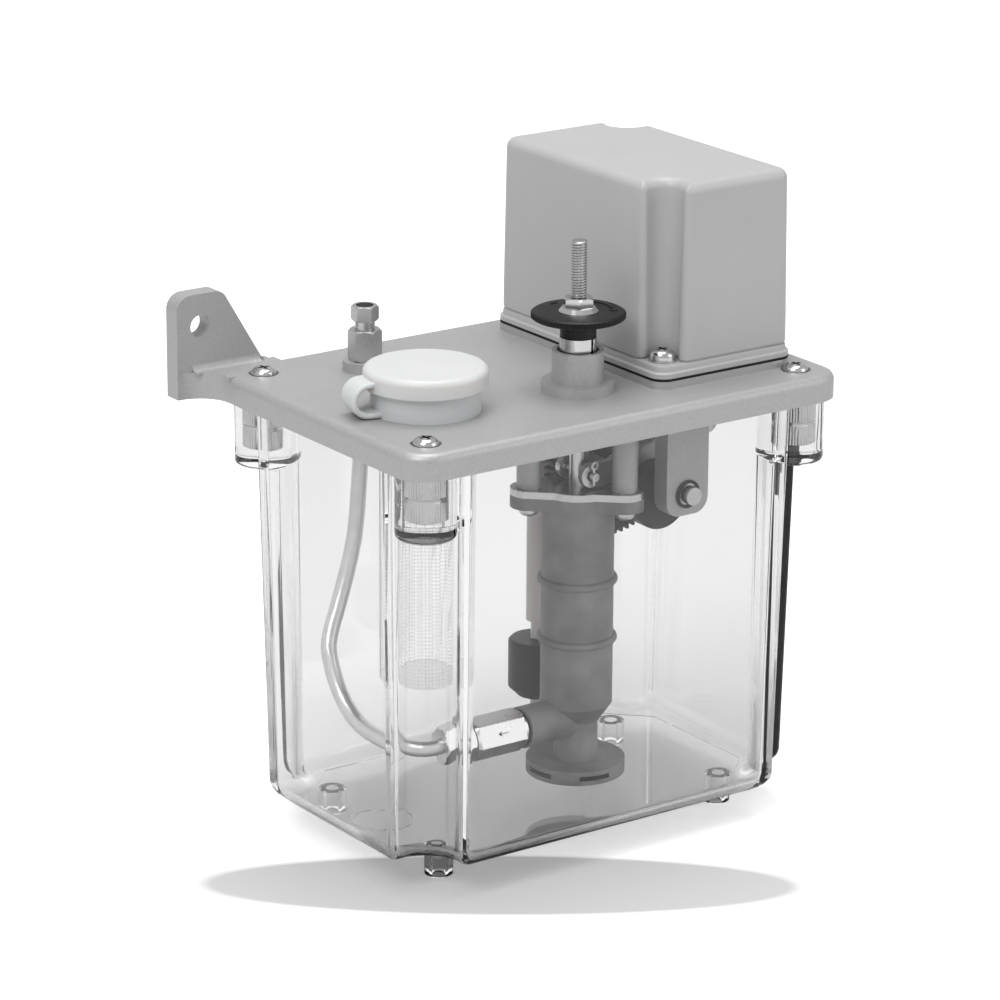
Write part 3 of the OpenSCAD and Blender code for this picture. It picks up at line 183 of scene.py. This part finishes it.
finish["clear"] = start("clear_acrylic", Transmission_Weight=1.0, IOR=1.42, Roughness=0.015,
                        Base_Color=even(0.985))[0]
slot_of = {subpart["node"]: subpart["material_slot"] for subpart in frame["record"]["subparts"]}
for name, obj in nodes.items():
    obj.data.materials.clear()
    obj.data.materials.append(finish[slot_of[name]])
print(len(finish), "finishes on", len(nodes), "CAD nodes")

# %% [markdown]
# Curved CAD faces arrive as flat facets. A small geometry-nodes modifier joins their corners and shades them as one
# surface, up to an edge angle of 32 degrees, so that true edges stay crisp and the mesh itself isn't touched.

# %% Smooth shading for the CAD nodes
CREASE = math.radians(32)
WELD = 0.000002
soften = bpy.data.node_groups.new("soften", "GeometryNodeTree")
soften.interface.new_socket("Geometry", in_out="INPUT", socket_type="NodeSocketGeometry")
soften.interface.new_socket("Geometry", in_out="OUTPUT", socket_type="NodeSocketGeometry")
inlet = add(soften, "NodeGroupInput")
plain = add(soften, "GeometryNodeRemoveAttribute", Geometry=inlet.outputs[0], Name="custom_normal")
welded = add(soften, "GeometryNodeMergeByDistance", Geometry=plain.outputs[0], Distance=WELD)
smooth = add(soften, "GeometryNodeSetShadeSmooth", Geometry=welded.outputs[0], Shade_Smooth=True)
edge_angle = add(soften, "GeometryNodeInputMeshEdgeAngle")
sharp = add(soften, "FunctionNodeCompare", operation="GREATER_THAN")
soften.links.new(edge_angle.outputs["Unsigned Angle"], sharp.inputs[0])
sharp.inputs[1].default_value = CREASE
crisp = add(soften, "GeometryNodeSetShadeSmooth", domain="EDGE", Geometry=smooth.outputs[0], Shade_Smooth=False)
soften.links.new(sharp.outputs[0], crisp.inputs["Selection"])
add(soften, "NodeGroupOutput", Geometry=crisp.outputs[0])


def smooth_shade(obj):
    """Soft where faces meet gently, crisp at hard edges, and large flat faces stay flat."""
    obj.modifiers.new("soften", "NODES").node_group = soften
    obj.modifiers.new("flat_faces_win", "WEIGHTED_NORMAL").keep_sharp = True


for obj in nodes.values():
    smooth_shade(obj)
print("softened", len(nodes), "nodes")

# %% [markdown]
# The real stroke adjuster is a black moulded disc with a fine knurl, and a minus sign, an arrow and a plus sign on
# its face. A spin could make a plain disc, but the knurl needs its own corners, so one outline of 192 points is
# drawn at every level and the levels are joined by rings of faces, like hoops on a barrel.

# %% Adjusting disc with its knurl
def new_piece(name, corners, faces, finish_name):
    """A mesh object with one finish, linked to the scene."""
    mesh = bpy.data.meshes.new(name)
    mesh.from_pydata(corners, [], faces)
    mesh.materials.append(finish[finish_name])
    obj = bpy.data.objects.new(name, mesh)
    bpy.context.scene.collection.objects.link(obj)
    return obj


def loft(name, levels, finish_name, hollow=False):
    """A skin over outlines with equal numbers of points. A hollow piece joins its last outline to its first."""
    count, total = len(levels[0]), len(levels)
    corners = [point for level in levels for point in level]
    faces = []
    for i in range(total if hollow else total - 1):
        here, there = i * count, (i + 1) % total * count
        for k in range(count):
            after = (k + 1) % count
            faces.append((here + k, here + after, there + after, there + k))
    if not hollow:
        faces += [tuple(reversed(range(count))), tuple(range(len(corners) - count, len(corners)))]
    return new_piece(name, corners, faces, finish_name)


def outline(centre, radius, z, teeth=0, depth=0.0, count=96):
    """A ring of points round a centre. With teeth, every second point sinks by the depth."""
    total = teeth * 2 if teeth else count
    points = []
    for k in range(total):
        angle = 2 * math.pi * k / total
        r = radius - (depth if teeth and k % 2 else 0)
        points.append((centre[0] + r * math.cos(angle), centre[1] + r * math.sin(angle), z))
    return points


MM = 0.001
low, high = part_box("adjusting_knob")
knob_at = ((low.x + high.x) / 2, (low.y + high.y) / 2)
knob_r, knob_top = (high.x - low.x) / 2, high.z
disc_low = knob_top - 3.1 * MM
TEETH, KNURL, FAINT, BORE_R = 96, 0.42 * MM, 0.05 * MM, 3.05 * MM
disc = loft("knurled_disc", [outline(knob_at, r, z, TEETH, depth) for r, z, depth in (
    (BORE_R, knob_top, 0),
    (knob_r - 1.3 * MM, knob_top, 0),
    (knob_r - 0.7 * MM, knob_top - 0.3 * MM, FAINT),
    (knob_r, knob_top - 0.75 * MM, KNURL),
    (knob_r, disc_low + 0.75 * MM, KNURL),
    (knob_r - 0.7 * MM, disc_low + 0.3 * MM, FAINT),
    (knob_r - 1.3 * MM, disc_low, 0),
    (7.2 * MM, disc_low, 0),
    (6.6 * MM, disc_low - 0.6 * MM, 0),
    (6.6 * MM, low.z + 0.3 * MM, 0),
    (6.3 * MM, low.z, 0),
    (BORE_R, low.z, 0),
)], "black_plastic", hollow=True)
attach(disc, "knob")
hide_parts("adjusting_knob")
print("disc", round(knob_r * 2000, 1), "mm wide with", TEETH, "teeth,", len(disc.data.polygons), "faces")

# %% [markdown]
# The disc carries a minus sign, a curved arrow and a plus sign, moulded in the same black. They stand up a quarter of
# a millimetre, so light catches their edges. Each is a flat outline given that height, placed round the disc by angle.

# %% Marks on the disc
def around(degrees, shape):
    """Places a small flat shape at an angle on the disc, its own Y pointing away from the centre."""
    c, s = math.cos(math.radians(degrees)), math.sin(math.radians(degrees))
    return [(knob_at[0] + c * (MARK_R + y) + s * x, knob_at[1] + s * (MARK_R + y) - c * x) for x, y in shape]


def bar(length, width):
    """The corners of a small rectangle."""
    return [(-length / 2, -width / 2), (length / 2, -width / 2), (length / 2, width / 2), (-length / 2, width / 2)]


MARK_R, MARK_UP, MARK_LONG, MARK_THIN = 12.6 * MM, 0.25 * MM, 3.0 * MM, 0.6 * MM
turn = [math.radians(72 - i * 6) for i in range(15)]
turn_edges = [[(knob_at[0] + r * math.cos(a), knob_at[1] + r * math.sin(a)) for a in turn]
              for r in (MARK_R - 0.25 * MM, MARK_R + 0.25 * MM)]
mark_shapes = [
    ("minus_mark", around(99, bar(MARK_LONG, MARK_THIN)), MARK_UP),
    ("plus_mark_across", around(-36, bar(MARK_LONG, MARK_THIN)), MARK_UP),
    ("plus_mark_along", around(-36, bar(MARK_THIN, MARK_LONG)), MARK_UP * 1.02),
    ("turn_line", turn_edges[0] + turn_edges[1][::-1], MARK_UP),
    ("turn_head", around(-13, [(0, -1.1 * MM), (2.2 * MM, 0), (0, 1.1 * MM)]), MARK_UP),
]
for name, shape, up in mark_shapes:
    mark = loft(name, [[(x, y, z) for x, y in shape] for z in (knob_top, knob_top + up)], "black_plastic")
    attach(mark, "knob")
print(len(mark_shapes), "marks on the disc")

# %% [markdown]
# The rod above the disc is threaded. A true helix is drawn: an outline that is almost a circle, with one lobe for the
# thread's crest, turns as it rises, once for each millimetre of pitch.

# %% Threaded rod
def threaded(name, centre, crest, root, z0, z1, pitch, finish_name):
    """A bar with a real thread and a tapered tip: every level is one lobed outline, turned by its height."""
    around_it, levels_a_turn, tip = 24, 12, 0.2 * MM
    levels = []
    steps = int((z1 - z0) / pitch * levels_a_turn)
    for i in range(steps + 1):
        z = z0 + (z1 - z0) * i / steps
        lead = 2 * math.pi * (z - z0) / pitch
        most = min(crest, root + (z1 - z) * 1.2 + tip)
        ring = []
        for k in range(around_it):
            angle = 2 * math.pi * k / around_it
            wave = 0.5 + 0.5 * math.cos(angle - lead)
            r = min(root + (crest - root) * min(1.0, max(0.0, wave * 1.5 - 0.25)), most)
            ring.append((centre[0] + r * math.cos(angle), centre[1] + r * math.sin(angle), z))
        levels.append(ring)
    return loft(name, levels, finish_name)


low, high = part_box("plunger_rod")
nut_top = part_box("lock_nut")[1].z
sleeve_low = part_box("split_sleeve")[0].z
CREST, ROOT, PITCH = 2.98 * MM, 2.42 * MM, 1.0 * MM
rod_levels = [(3.1 * MM, low.z), (3.5 * MM, low.z + 0.4 * MM), (3.5 * MM, sleeve_low), (CREST, sleeve_low),
              (CREST, nut_top - 1 * MM)]
rod = loft("plunger_bar", [outline(knob_at, r, z, count=32) for r, z in rod_levels], "steel")
stud = threaded("stud_thread", knob_at, CREST, ROOT, nut_top - 1.2 * MM, high.z, PITCH, "steel")
for piece in (rod, stud):
    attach(piece, "plunger")
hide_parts("plunger_rod")
print("thread", round((high.z - nut_top) * 1000, 1), "mm long,", len(stud.data.polygons), "faces")

# %% [markdown]
# Four threaded inserts sit in the tank's corner bosses and take the cover's screws. Each is turned brass with two
# knurled bands and a groove between them, so the outline is a toothed ring whose depth changes with height. Its skin
# lies a little inside the clear plastic, so no air shows round it and the boss enlarges it as a lens would.

# %% Knurled inserts in the tank's bosses
low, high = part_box("tank_inserts")
INSERT_R, DEEPER, INSERT_TEETH = 5.2 * MM, 4 * MM, 38
length = high.z - low.z + DEEPER
# Each row is a share of the length from below, the depth of the knurl and the radius, both in millimetres.
bands = [(0, 0.0, 5.0), (0.01, 0.26, 5.5), (0.33, 0.26, 5.5), (0.34, 0.0, 5.25), (0.355, 0.0, 5.25),
         (0.36, 0.0, 5.5), (0.385, 0.0, 5.5), (0.39, 0.0, 5.25), (0.405, 0.0, 5.25), (0.41, 0.26, 5.5),
         (0.98, 0.26, 5.5), (1.0, 0.0, 5.25)]
insert_at = [(x, y) for x in (low.x + INSERT_R, high.x - INSERT_R) for y in (low.y + INSERT_R, high.y - INSERT_R)]
for number, place in enumerate(insert_at):
    levels = [outline(place, r * MM, low.z - DEEPER + share * length, INSERT_TEETH, depth * MM)
              for share, depth, r in bands]
    insert = loft(f"knurled_insert_{number}", levels, "zinc")
    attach(insert, "reservoir")
    if number == 0:
        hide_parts("tank_inserts")
print(len(insert_at), "inserts,", round(length * 1000, 1), "mm long")

# %% [markdown]
# The filler strainer is a tube of woven wire. Wires are drawn one by one as thin four-sided bars: 90 upright ones and
# a hoop every 1.4 mm. From a distance they blend into the pale veil that shows through the tank's wall.

# %% Woven strainer
low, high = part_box("filler_strainer")
strain_at = ((low.x + high.x) / 2, (low.y + high.y) / 2)
WIRE, STRAINER_R, UPRIGHTS, HOOP_STEP, HOOP_POINTS = 0.11 * MM, 15.2 * MM, 90, 1.4 * MM, 60
DIAMOND = ((WIRE, 0), (0, WIRE), (-WIRE, 0), (0, -WIRE))
wire_low, wire_high = low.z + 0.5 * MM, high.z - 9 * MM


def near_wall(angle, out, side, z):
    """A point by the strainer's wall: out from it and to the side of it, at a height."""
    c, s, r = math.cos(angle), math.sin(angle), STRAINER_R + out
    return (strain_at[0] + r * c - side * s, strain_at[1] + r * s + side * c, z)


def wire_faces(a, b):
    """Four faces between two sections of a wire, whose first corners are a and b."""
    return [(a + i, a + (i + 1) % 4, b + (i + 1) % 4, b + i) for i in range(4)]


corners, faces = [], []
for k in range(UPRIGHTS):
    angle = 2 * math.pi * k / UPRIGHTS
    faces += wire_faces(len(corners), len(corners) + 4)
    corners += [near_wall(angle, out, side, z) for z in (wire_low, wire_high) for out, side in DIAMOND]
for h in range(int((wire_high - wire_low) / HOOP_STEP) + 1):
    z, base = wire_low + h * HOOP_STEP, len(corners)
    for k in range(HOOP_POINTS):
        angle = 2 * math.pi * k / HOOP_POINTS
        corners += [near_wall(angle, out, 0, z + up) for out, up in DIAMOND]
        faces += wire_faces(base + k * 4, base + (k + 1) % HOOP_POINTS * 4)
weave = new_piece("woven_strainer", corners, faces, "mesh")
lip_r, RIM_IN, RIM_OUT = (high.x - low.x) / 2, 14.9 * MM, 15.4 * MM
rim_low, lip_low = wire_high - 2 * MM, high.z - 3 * MM
rim = loft("strainer_rim", [outline(strain_at, r, z, count=64) for r, z in (
    (RIM_IN, rim_low), (RIM_OUT, rim_low), (RIM_OUT, lip_low), (lip_r, lip_low), (lip_r, high.z), (RIM_IN, high.z))],
    "white_plastic", hollow=True)
foot = loft("strainer_foot", [outline(strain_at, RIM_OUT, z, count=64) for z in (low.z, low.z + 0.8 * MM)], "mesh")
for piece, slot_name in ((weave, "mesh"), (rim, "white_plastic"), (foot, "mesh")):
    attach(piece, "reservoir")
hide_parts("filler_strainer")
print(len(faces), "faces of wire in the strainer")

# %% [markdown]
# A coil spring sits on the piston and pushes it down. When the plunger rises, the spring has to shorten; here its
# coil is drawn once, as round wire wound between the ends of the CAD spring.

# %% Main spring
low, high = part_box("main_spring")
WIRE_R, COIL_R, TURNS, STEPS_A_TURN, ROUND_WIRE = 0.8 * MM, 5.9 * MM, 11, 16, 8
z0, z1 = low.z + WIRE_R, high.z - WIRE_R
levels = []
for i in range(TURNS * STEPS_A_TURN + 1):
    turned = i / STEPS_A_TURN
    angle = 2 * math.pi * turned
    rise = min(max((turned - 0.75) / (TURNS - 1.5), 0), 1)
    ring = []
    for k in range(ROUND_WIRE):
        tilt = 2 * math.pi * k / ROUND_WIRE
        r = COIL_R + WIRE_R * math.cos(tilt)
        ring.append((knob_at[0] + r * math.cos(angle), knob_at[1] + r * math.sin(angle),
                     z0 + (z1 - z0) * rise + WIRE_R * math.sin(tilt)))
    levels.append(ring)
spring = loft("coil_spring", levels, "steel")
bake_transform(spring)
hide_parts("main_spring")
print("spring", round((z1 - z0) * 1000, 1), "mm long with", TURNS, "turns")

# %% [markdown]
# The motor's moulded housing has a cove at two opposite corners, where its screws stand on low ledges. In plan each
# cove is an arc round the screw that flows into both walls by soft convex bends. Every level of the housing is that
# same closed line, moved inward a little for the draft and for the rounded top, so one loft makes the whole shape.

# %% Outline of the motor housing
low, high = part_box("motor_cover")
house_at = (54.65 * MM, -0.25 * MM)
HALF_W, HALF_D, CORNER_R = 30.25 * MM, 51.0 * MM, 5.0 * MM
SCREW_IN = (6.9 * MM, 8.0 * MM)
COVE_R, BEND_SIDE, BEND_FRONT = 5.9 * MM, 3.0 * MM, 2.6 * MM


def arc(centre, radius, begin, end, count):
    """Points on an arc, both ends included, with angles in degrees."""
    turns = [math.radians(begin + (end - begin) * i / (count - 1)) for i in range(count)]
    return [(centre[0] + radius * math.cos(t), centre[1] + radius * math.sin(t)) for t in turns]


def cove(inset):
    """One coved corner, measured from the corner of the walls, for walls moved in by inset."""
    sx, sy = SCREW_IN[0] - inset, SCREW_IN[1] - inset
    cove_r, side, front = COVE_R + inset, max(BEND_SIDE - inset, 0.5 * MM), max(BEND_FRONT - inset, 0.5 * MM)
    side_at = (side, sy + math.sqrt((cove_r + side) ** 2 - (sx - side) ** 2))
    front_at = (sx + math.sqrt((cove_r + front) ** 2 - (sy - front) ** 2), front)
    to_side = math.degrees(math.atan2(side_at[1] - sy, side_at[0] - sx))
    to_front = math.degrees(math.atan2(front_at[1] - sy, front_at[0] - sx))
    return (arc(side_at, side, 180, to_side + 180, 8) + arc((sx, sy), cove_r, to_side, to_front, 16)[1:-1]
            + arc(front_at, front, to_front + 180, 270, 8))


def house_line(z, inset, coved=True):
    """The housing's closed line at one height."""
    w, d, r = HALF_W - inset, HALF_D - inset, max(CORNER_R - inset, 0.6 * MM)
    local = cove(inset) if coved else arc((r, r), r, 180, 270, 30)
    half = [(x - w, y - d) for x, y in local] + arc((w - r, r - d), r, 270, 360, 10)
    return [(house_at[0] + k * x, house_at[1] + k * y, z) for k in (1, -1) for x, y in half]


LIP, LEDGE, DRAFT, TOP_R, DOT_H, WALL_STEPS = 1.1 * MM, 4.7 * MM, 1.0 * MM, 4.0 * MM, 0.15 * MM, 7
roof, ledge_top = high.z - DOT_H, low.z + LEDGE
levels = [house_line(z, inset, coved=False) for z, inset in (
    (low.z, 0.3 * MM - LIP), (low.z + 0.3 * MM, -LIP), (low.z + 1.9 * MM, -LIP), (low.z + 2.3 * MM, 0.4 * MM - LIP),
    (low.z + 2.5 * MM, -0.1 * MM), (ledge_top - 0.7 * MM, 0), (ledge_top - 0.2 * MM, 0.2 * MM), (ledge_top, 0.7 * MM))]
levels += [house_line(ledge_top + 0.02 * MM, 0.72 * MM), house_line(ledge_top + 0.9 * MM, 0.1 * MM)]
for i in range(1, WALL_STEPS + 1):
    share = i / WALL_STEPS
    levels.append(house_line(ledge_top + (roof - TOP_R - ledge_top) * share, DRAFT * share))
for degrees in range(15, 91, 15):
    bend = math.radians(degrees)
    levels.append(house_line(roof - TOP_R + TOP_R * math.sin(bend), DRAFT + TOP_R * (1 - math.cos(bend))))
housing = loft("motor_housing", levels, "housing")
dot = loft("gate_mark", [outline(house_at, r, z, count=20) for r, z in (
    (0.7 * MM, roof - 0.05 * MM), (0.5 * MM, high.z))], "housing")
for piece in (housing, dot):
    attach(piece, "reservoir")
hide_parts("motor_cover")
print("housing with", len(housing.data.polygons), "faces, top at", round(high.z * 1000, 1), "mm")

# %% [markdown]
# The camshaft's front end shows in a dark plastic bush with a raised collar. The collar is a short ring, lofted
# round its whole cross-section in one go, and laid on its side by swapping its axes.

# %% Collar of the front bush
shaft_low, shaft_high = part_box("camshaft")
bush_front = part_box("shaft_bushes")[0].y
shaft_at = ((shaft_low.x + shaft_high.x) / 2, (shaft_low.z + shaft_high.z) / 2)
PROUD = 1.0 * MM
# Each pair is a radius and a height, in millimetres.
section = [(4.2, 0.0), (5.0, 0.0), (5.3, 0.3), (5.3, 1.2), (4.2, 1.2)]
collar = loft("bush_collar", [outline(shaft_at, r * MM, h * MM, count=48) for r, h in section], "rubber", hollow=True)
for vertex in collar.data.vertices:
    x, z, h = vertex.co
    vertex.co = (x, bush_front - PROUD + h, z)
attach(collar, "reservoir")
print("bush collar at", [round(v * 1000, 1) for v in (shaft_at[0], bush_front, shaft_at[1])])

# %% [markdown]
# A moulded strap ties the cap to its collar. It is a flat band that runs out from the collar, round a loop and back to
# the cap. One flat cross-section with round edges is carried along that path.

# %% Cap strap
cap_low, cap_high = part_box("filler_cap")
cap_at = Vector(((cap_low.x + cap_high.x) / 2, (cap_low.y + cap_high.y) / 2, 0))
plate_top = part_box("cap_tether")[0].z
STRAP_TURN = math.radians(168)
out_way = Vector((math.cos(STRAP_TURN), math.sin(STRAP_TURN), 0))
side_way = Vector((-out_way.y, out_way.x, 0))
STRAP_W, STRAP_T = 12 * MM, 2.2 * MM
EDGE_R = STRAP_T / 2
LOOP_R, LOOP_AT = 5.6, (23.6, 6.9)
# The path is in millimetres: how far out from the cap's axis, and how far above the cover.
path = [(18.6, 1.3), (21, 1.3)]
path += [(LOOP_AT[0] + LOOP_R * math.cos(math.radians(a)), LOOP_AT[1] + LOOP_R * math.sin(math.radians(a)))
         for a in range(-90, 91, 12)]
path += [(21.5, 12.7), (18.0, 13.1)]
section = []
for edge_at, begin in ((STRAP_W / 2 - EDGE_R, 0), (EDGE_R - STRAP_W / 2, 180)):
    section += [(EDGE_R * math.cos(math.radians(begin + step)), edge_at + EDGE_R * math.sin(math.radians(begin + step)))
                for step in range(0, 181, 30)]
levels = []
for i, (x, z) in enumerate(path):
    x0, z0 = path[max(i - 1, 0)]
    x1, z1 = path[min(i + 1, len(path) - 1)]
    along = Vector((x1 - x0, 0, z1 - z0)).normalized()
    outward = Vector((along.z, 0, -along.x))
    ring = []
    for thick, wide in section:
        point = cap_at + out_way * (x * MM + outward.x * thick) + side_way * wide
        ring.append((point.x, point.y, plate_top + z * MM + outward.z * thick))
    levels.append(ring)
strap = loft("cap_strap", levels, "white_plastic")
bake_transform(strap)
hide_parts("cap_tether")
print("strap with", len(strap.data.polygons), "faces")

# %% [markdown]
# The check valve is a length of hexagonal bar with turned ends. It shows one flat to the front and a little up, with an
# arrow for the flow. Its outline is a hexagon held inside a circle: where the circle is small the end is round, and as
# it grows the corners come out, which gives the curved chamfers of real bar. The outlines are stacked upward and then
# laid on their side.

# %% Check valve with its flow arrow
low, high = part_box("check_valve")
valve_at = ((low.y + high.y) / 2, (low.z + high.z) / 2)
ACROSS, END_GAP, HEX_LONG, STUB_LONG, AROUND = 14.0 * MM, 1.2 * MM, 23.7 * MM, 4.5 * MM, 72
ROLL = 20
flat_out = (-math.cos(math.radians(ROLL)), math.sin(math.radians(ROLL)))
flat_up = (math.sin(math.radians(ROLL)), math.cos(math.radians(ROLL)))
hex_left = low.x + STUB_LONG
hex_right = hex_left + HEX_LONG - END_GAP
arrow_x = (hex_left + hex_right) / 2


def turned(x, r):
    """A round outline at a place along the valve, its radius in millimetres."""
    return outline(valve_at, r * MM, x, count=AROUND)


def hexagon(x, most):
    """A hexagonal outline with one flat to the front, rolled upward, held inside a radius in millimetres."""
    points = []
    for k in range(AROUND):
        degrees = 360 / AROUND * k
        off = math.radians((degrees + 30 + ROLL) % 60 - 30)
        r = min(ACROSS / 2 / math.cos(off), most * MM)
        angle = math.radians(degrees)
        points.append((valve_at[0] + r * math.cos(angle), valve_at[1] + r * math.sin(angle), x))
    return points


def on_flat(along, up, out):
    """A point on the valve's front flat, in millimetres from its middle."""
    reach = ACROSS / 2 + out * MM
    return (valve_at[0] + flat_out[0] * reach + flat_up[0] * up * MM,
            valve_at[1] + flat_out[1] * reach + flat_up[1] * up * MM, arrow_x + along * MM)


valve = loft("check_valve_body", [
    turned(low.x, 4.6), turned(low.x + 0.4 * MM, 5.0), turned(low.x + 1.6 * MM, 5.0), turned(low.x + 1.9 * MM, 4.3),
    turned(low.x + 2.9 * MM, 4.3), turned(low.x + 3.1 * MM, 6.3), turned(hex_left - 0.5 * MM, 6.3),
    turned(hex_left - 0.3 * MM, 5.6), turned(hex_left, 5.6), hexagon(hex_left + 0.1 * MM, 7.0),
    hexagon(hex_left + 1.1 * MM, 8.1), hexagon(hex_left + 1.4 * MM, 9), hexagon(hex_right - 1.4 * MM, 9),
    hexagon(hex_right - 1.1 * MM, 8.1), hexagon(hex_right, 7.0), turned(hex_right + 0.1 * MM, 5.6),
    turned(high.x, 5.0)], "zinc")
seal = loft("valve_seal", [turned(hex_right + 0.15 * MM, 6.6), turned(hex_right + 0.3 * MM, 7.0),
                           turned(hex_right + END_GAP - 0.3 * MM, 7.0),
                           turned(hex_right + END_GAP - 0.1 * MM, 6.6)], "rubber")
arrow = [(2.2, 0.14), (-1.0, 0.14), (-0.5, 0.75), (-0.75, 0.9), (-2.2, 0),
         (-0.75, -0.9), (-0.5, -0.75), (-1.0, -0.14), (2.2, -0.14)]
stamp = loft("flow_arrow", [[on_flat(along, up, out) for along, up in arrow] for out in (-0.02, 0.04)], "dark_steel")
for piece, slot_name in ((valve, "zinc"), (seal, "rubber"), (stamp, "dark_steel")):
    for vertex in piece.data.vertices:
        y, z, x = vertex.co
        vertex.co = (x, y, z)
    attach(piece, "reservoir")
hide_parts("check_valve")
print("valve with", round((hex_right - hex_left) * 1000, 1), "mm of hexagon")

# %% [markdown]
# A loft can come out with its faces looking inward, when its outlines run downward or its axes are swapped. Blender can
# turn them all outward. The lofted pieces then get the same edge rule as the CAD nodes: soft where faces meet gently,
# crisp where they turn hard. The woven wire is too fine to need it.

# %% Smooth shading for the lofted pieces
made = [obj for obj in bpy.data.objects if obj.type == "MESH" and obj.name not in nodes]
for obj in made:
    work = bmesh.new()
    work.from_mesh(obj.data)
    bmesh.ops.recalc_face_normals(work, faces=work.faces)
    work.to_mesh(obj.data)
    work.free()
    if obj is not weave:
        smooth_shade(obj)
print("faced and softened", len(made), "lofted pieces")

# %% [markdown]
# The pump stands on a white floor. The floor glows only for the camera, so it looks plain white but adds no light to
# the pump, and rays that come through clear plastic see it a little darker, which is painted shade. A soft grey oval of
# painted shadow lies in front of the pump, as in the studio picture. It is drawn from the floor point's distance to the
# oval's centre.

# %% Floor with its painted shadow oval
FLOOR_HALF, GLOW, SEEN_DIRECT, SEEN_THROUGH = 30, 0.45, 0.8, 0.725
# The painted shadow oval: its middle and half sizes in metres, and how grey it is.
SHADOW_AT, SHADOW_HALF, SHADOW_GREY = (-0.0515, -0.060, 0), (0.1165, 0.029, 1), 0.745
floor_mesh = bpy.data.meshes.new("floor")
floor_mesh.from_pydata([(x * FLOOR_HALF, y * FLOOR_HALF, 0) for x, y in ((-1, -1), (1, -1), (1, 1), (-1, 1))],
                       [], [(0, 1, 2, 3)])
floor = bpy.data.objects.new("floor", floor_mesh)
bpy.context.scene.collection.objects.link(floor)
paper, paper_tree, paper_shader = start("white_floor", Base_Color=even(SEEN_DIRECT), Roughness=1.0,
                                        Specular_IOR_Level=0.0)
rays = add(paper_tree, "ShaderNodeLightPath")
glow = add(paper_tree, "ShaderNodeMath", operation="MULTIPLY")
paper_tree.links.new(rays.outputs["Is Camera Ray"], glow.inputs[0])
glow.inputs[1].default_value = GLOW
# Painted shade: the floor's colour is darker for rays that come through the clear plastic.
through_plastic_shade = ramp(paper_tree, rays.outputs["Is Transmission Ray"], [(0.0, even(SEEN_DIRECT)), (1.0, even(SEEN_THROUGH))])
shadow_spot = add(paper_tree, "ShaderNodeMapping", vector_type="TEXTURE",
           Vector=add(paper_tree, "ShaderNodeTexCoord").outputs["Object"], Location=SHADOW_AT,
           Rotation=(0, 0, math.atan2(RIGHT.y, RIGHT.x)), Scale=SHADOW_HALF)
reach = add(paper_tree, "ShaderNodeVectorMath", operation="LENGTH")
paper_tree.links.new(shadow_spot.outputs[0], reach.inputs[0])
# Painted shadow: inside the oval the floor's colour and glow turn grey, fading to white at its rim.
oval = ramp(paper_tree, reach.outputs["Value"], [(0.9, grey(SHADOW_GREY)), (1.0, grey(1.0))])
shade = add(paper_tree, "ShaderNodeMixRGB", blend_type="MULTIPLY", Fac=1.0, Color1=through_plastic_shade, Color2=oval)
paper_tree.links.new(shade.outputs[0], paper_shader.inputs["Base Color"])
paper_tree.links.new(oval, paper_shader.inputs["Emission Color"])
paper_tree.links.new(glow.outputs[0], paper_shader.inputs["Emission Strength"])
floor_mesh.materials.append(paper)
print("floor with an oval", round(SHADOW_HALF[0] * 2000), "mm wide")

# %% [markdown]
# The sky is plain white for the camera and for rays through clear plastic, and dimmer for the light that falls on the
# pump, so the enamel keeps its grey. Three soft boxes do the rest: one from the left, a weak one from the right to
# open the shadows, and one from above, which draws the bright upper faces.

# %% Sky and soft lights
SKY_LIGHT, SKY_SEEN = 0.55, 1.0
world = bpy.data.worlds.new("studio")
bpy.context.scene.world = world
world.use_nodes = True
sky = world.node_tree
rays = add(sky, "ShaderNodeLightPath")
seen = add(sky, "ShaderNodeMath", operation="MAXIMUM")
sky.links.new(rays.outputs["Is Camera Ray"], seen.inputs[0])
sky.links.new(rays.outputs["Is Transmission Ray"], seen.inputs[1])
level = add(sky, "ShaderNodeMapRange", Value=seen.outputs[0], To_Min=SKY_LIGHT, To_Max=SKY_SEEN)
sky.nodes["Background"].inputs["Color"].default_value = even(1.0)
sky.links.new(level.outputs[0], sky.nodes["Background"].inputs["Strength"])

# Each row is a name, a place in metres, the box's width in metres and its power in watts.
soft_boxes = [("key", (-1.1, -0.5, 1.5), 0.9, 13), ("fill", (1.1, -1.3, 0.8), 1.2, 5),
              ("top", (0.1, 0.1, 1.7), 1.0, 15)]
for name, place, width, power in soft_boxes:
    data = bpy.data.lights.new(name, "AREA")
    data.size = width
    data.energy = power
    lamp = bpy.data.objects.new(name, data)
    lamp.location = place
    lamp.rotation_euler = (PUMP_MIDDLE - lamp.location).to_track_quat("-Z", "Y").to_euler()
    bpy.context.scene.collection.objects.link(lamp)
print("sky and", len(soft_boxes), "soft boxes")
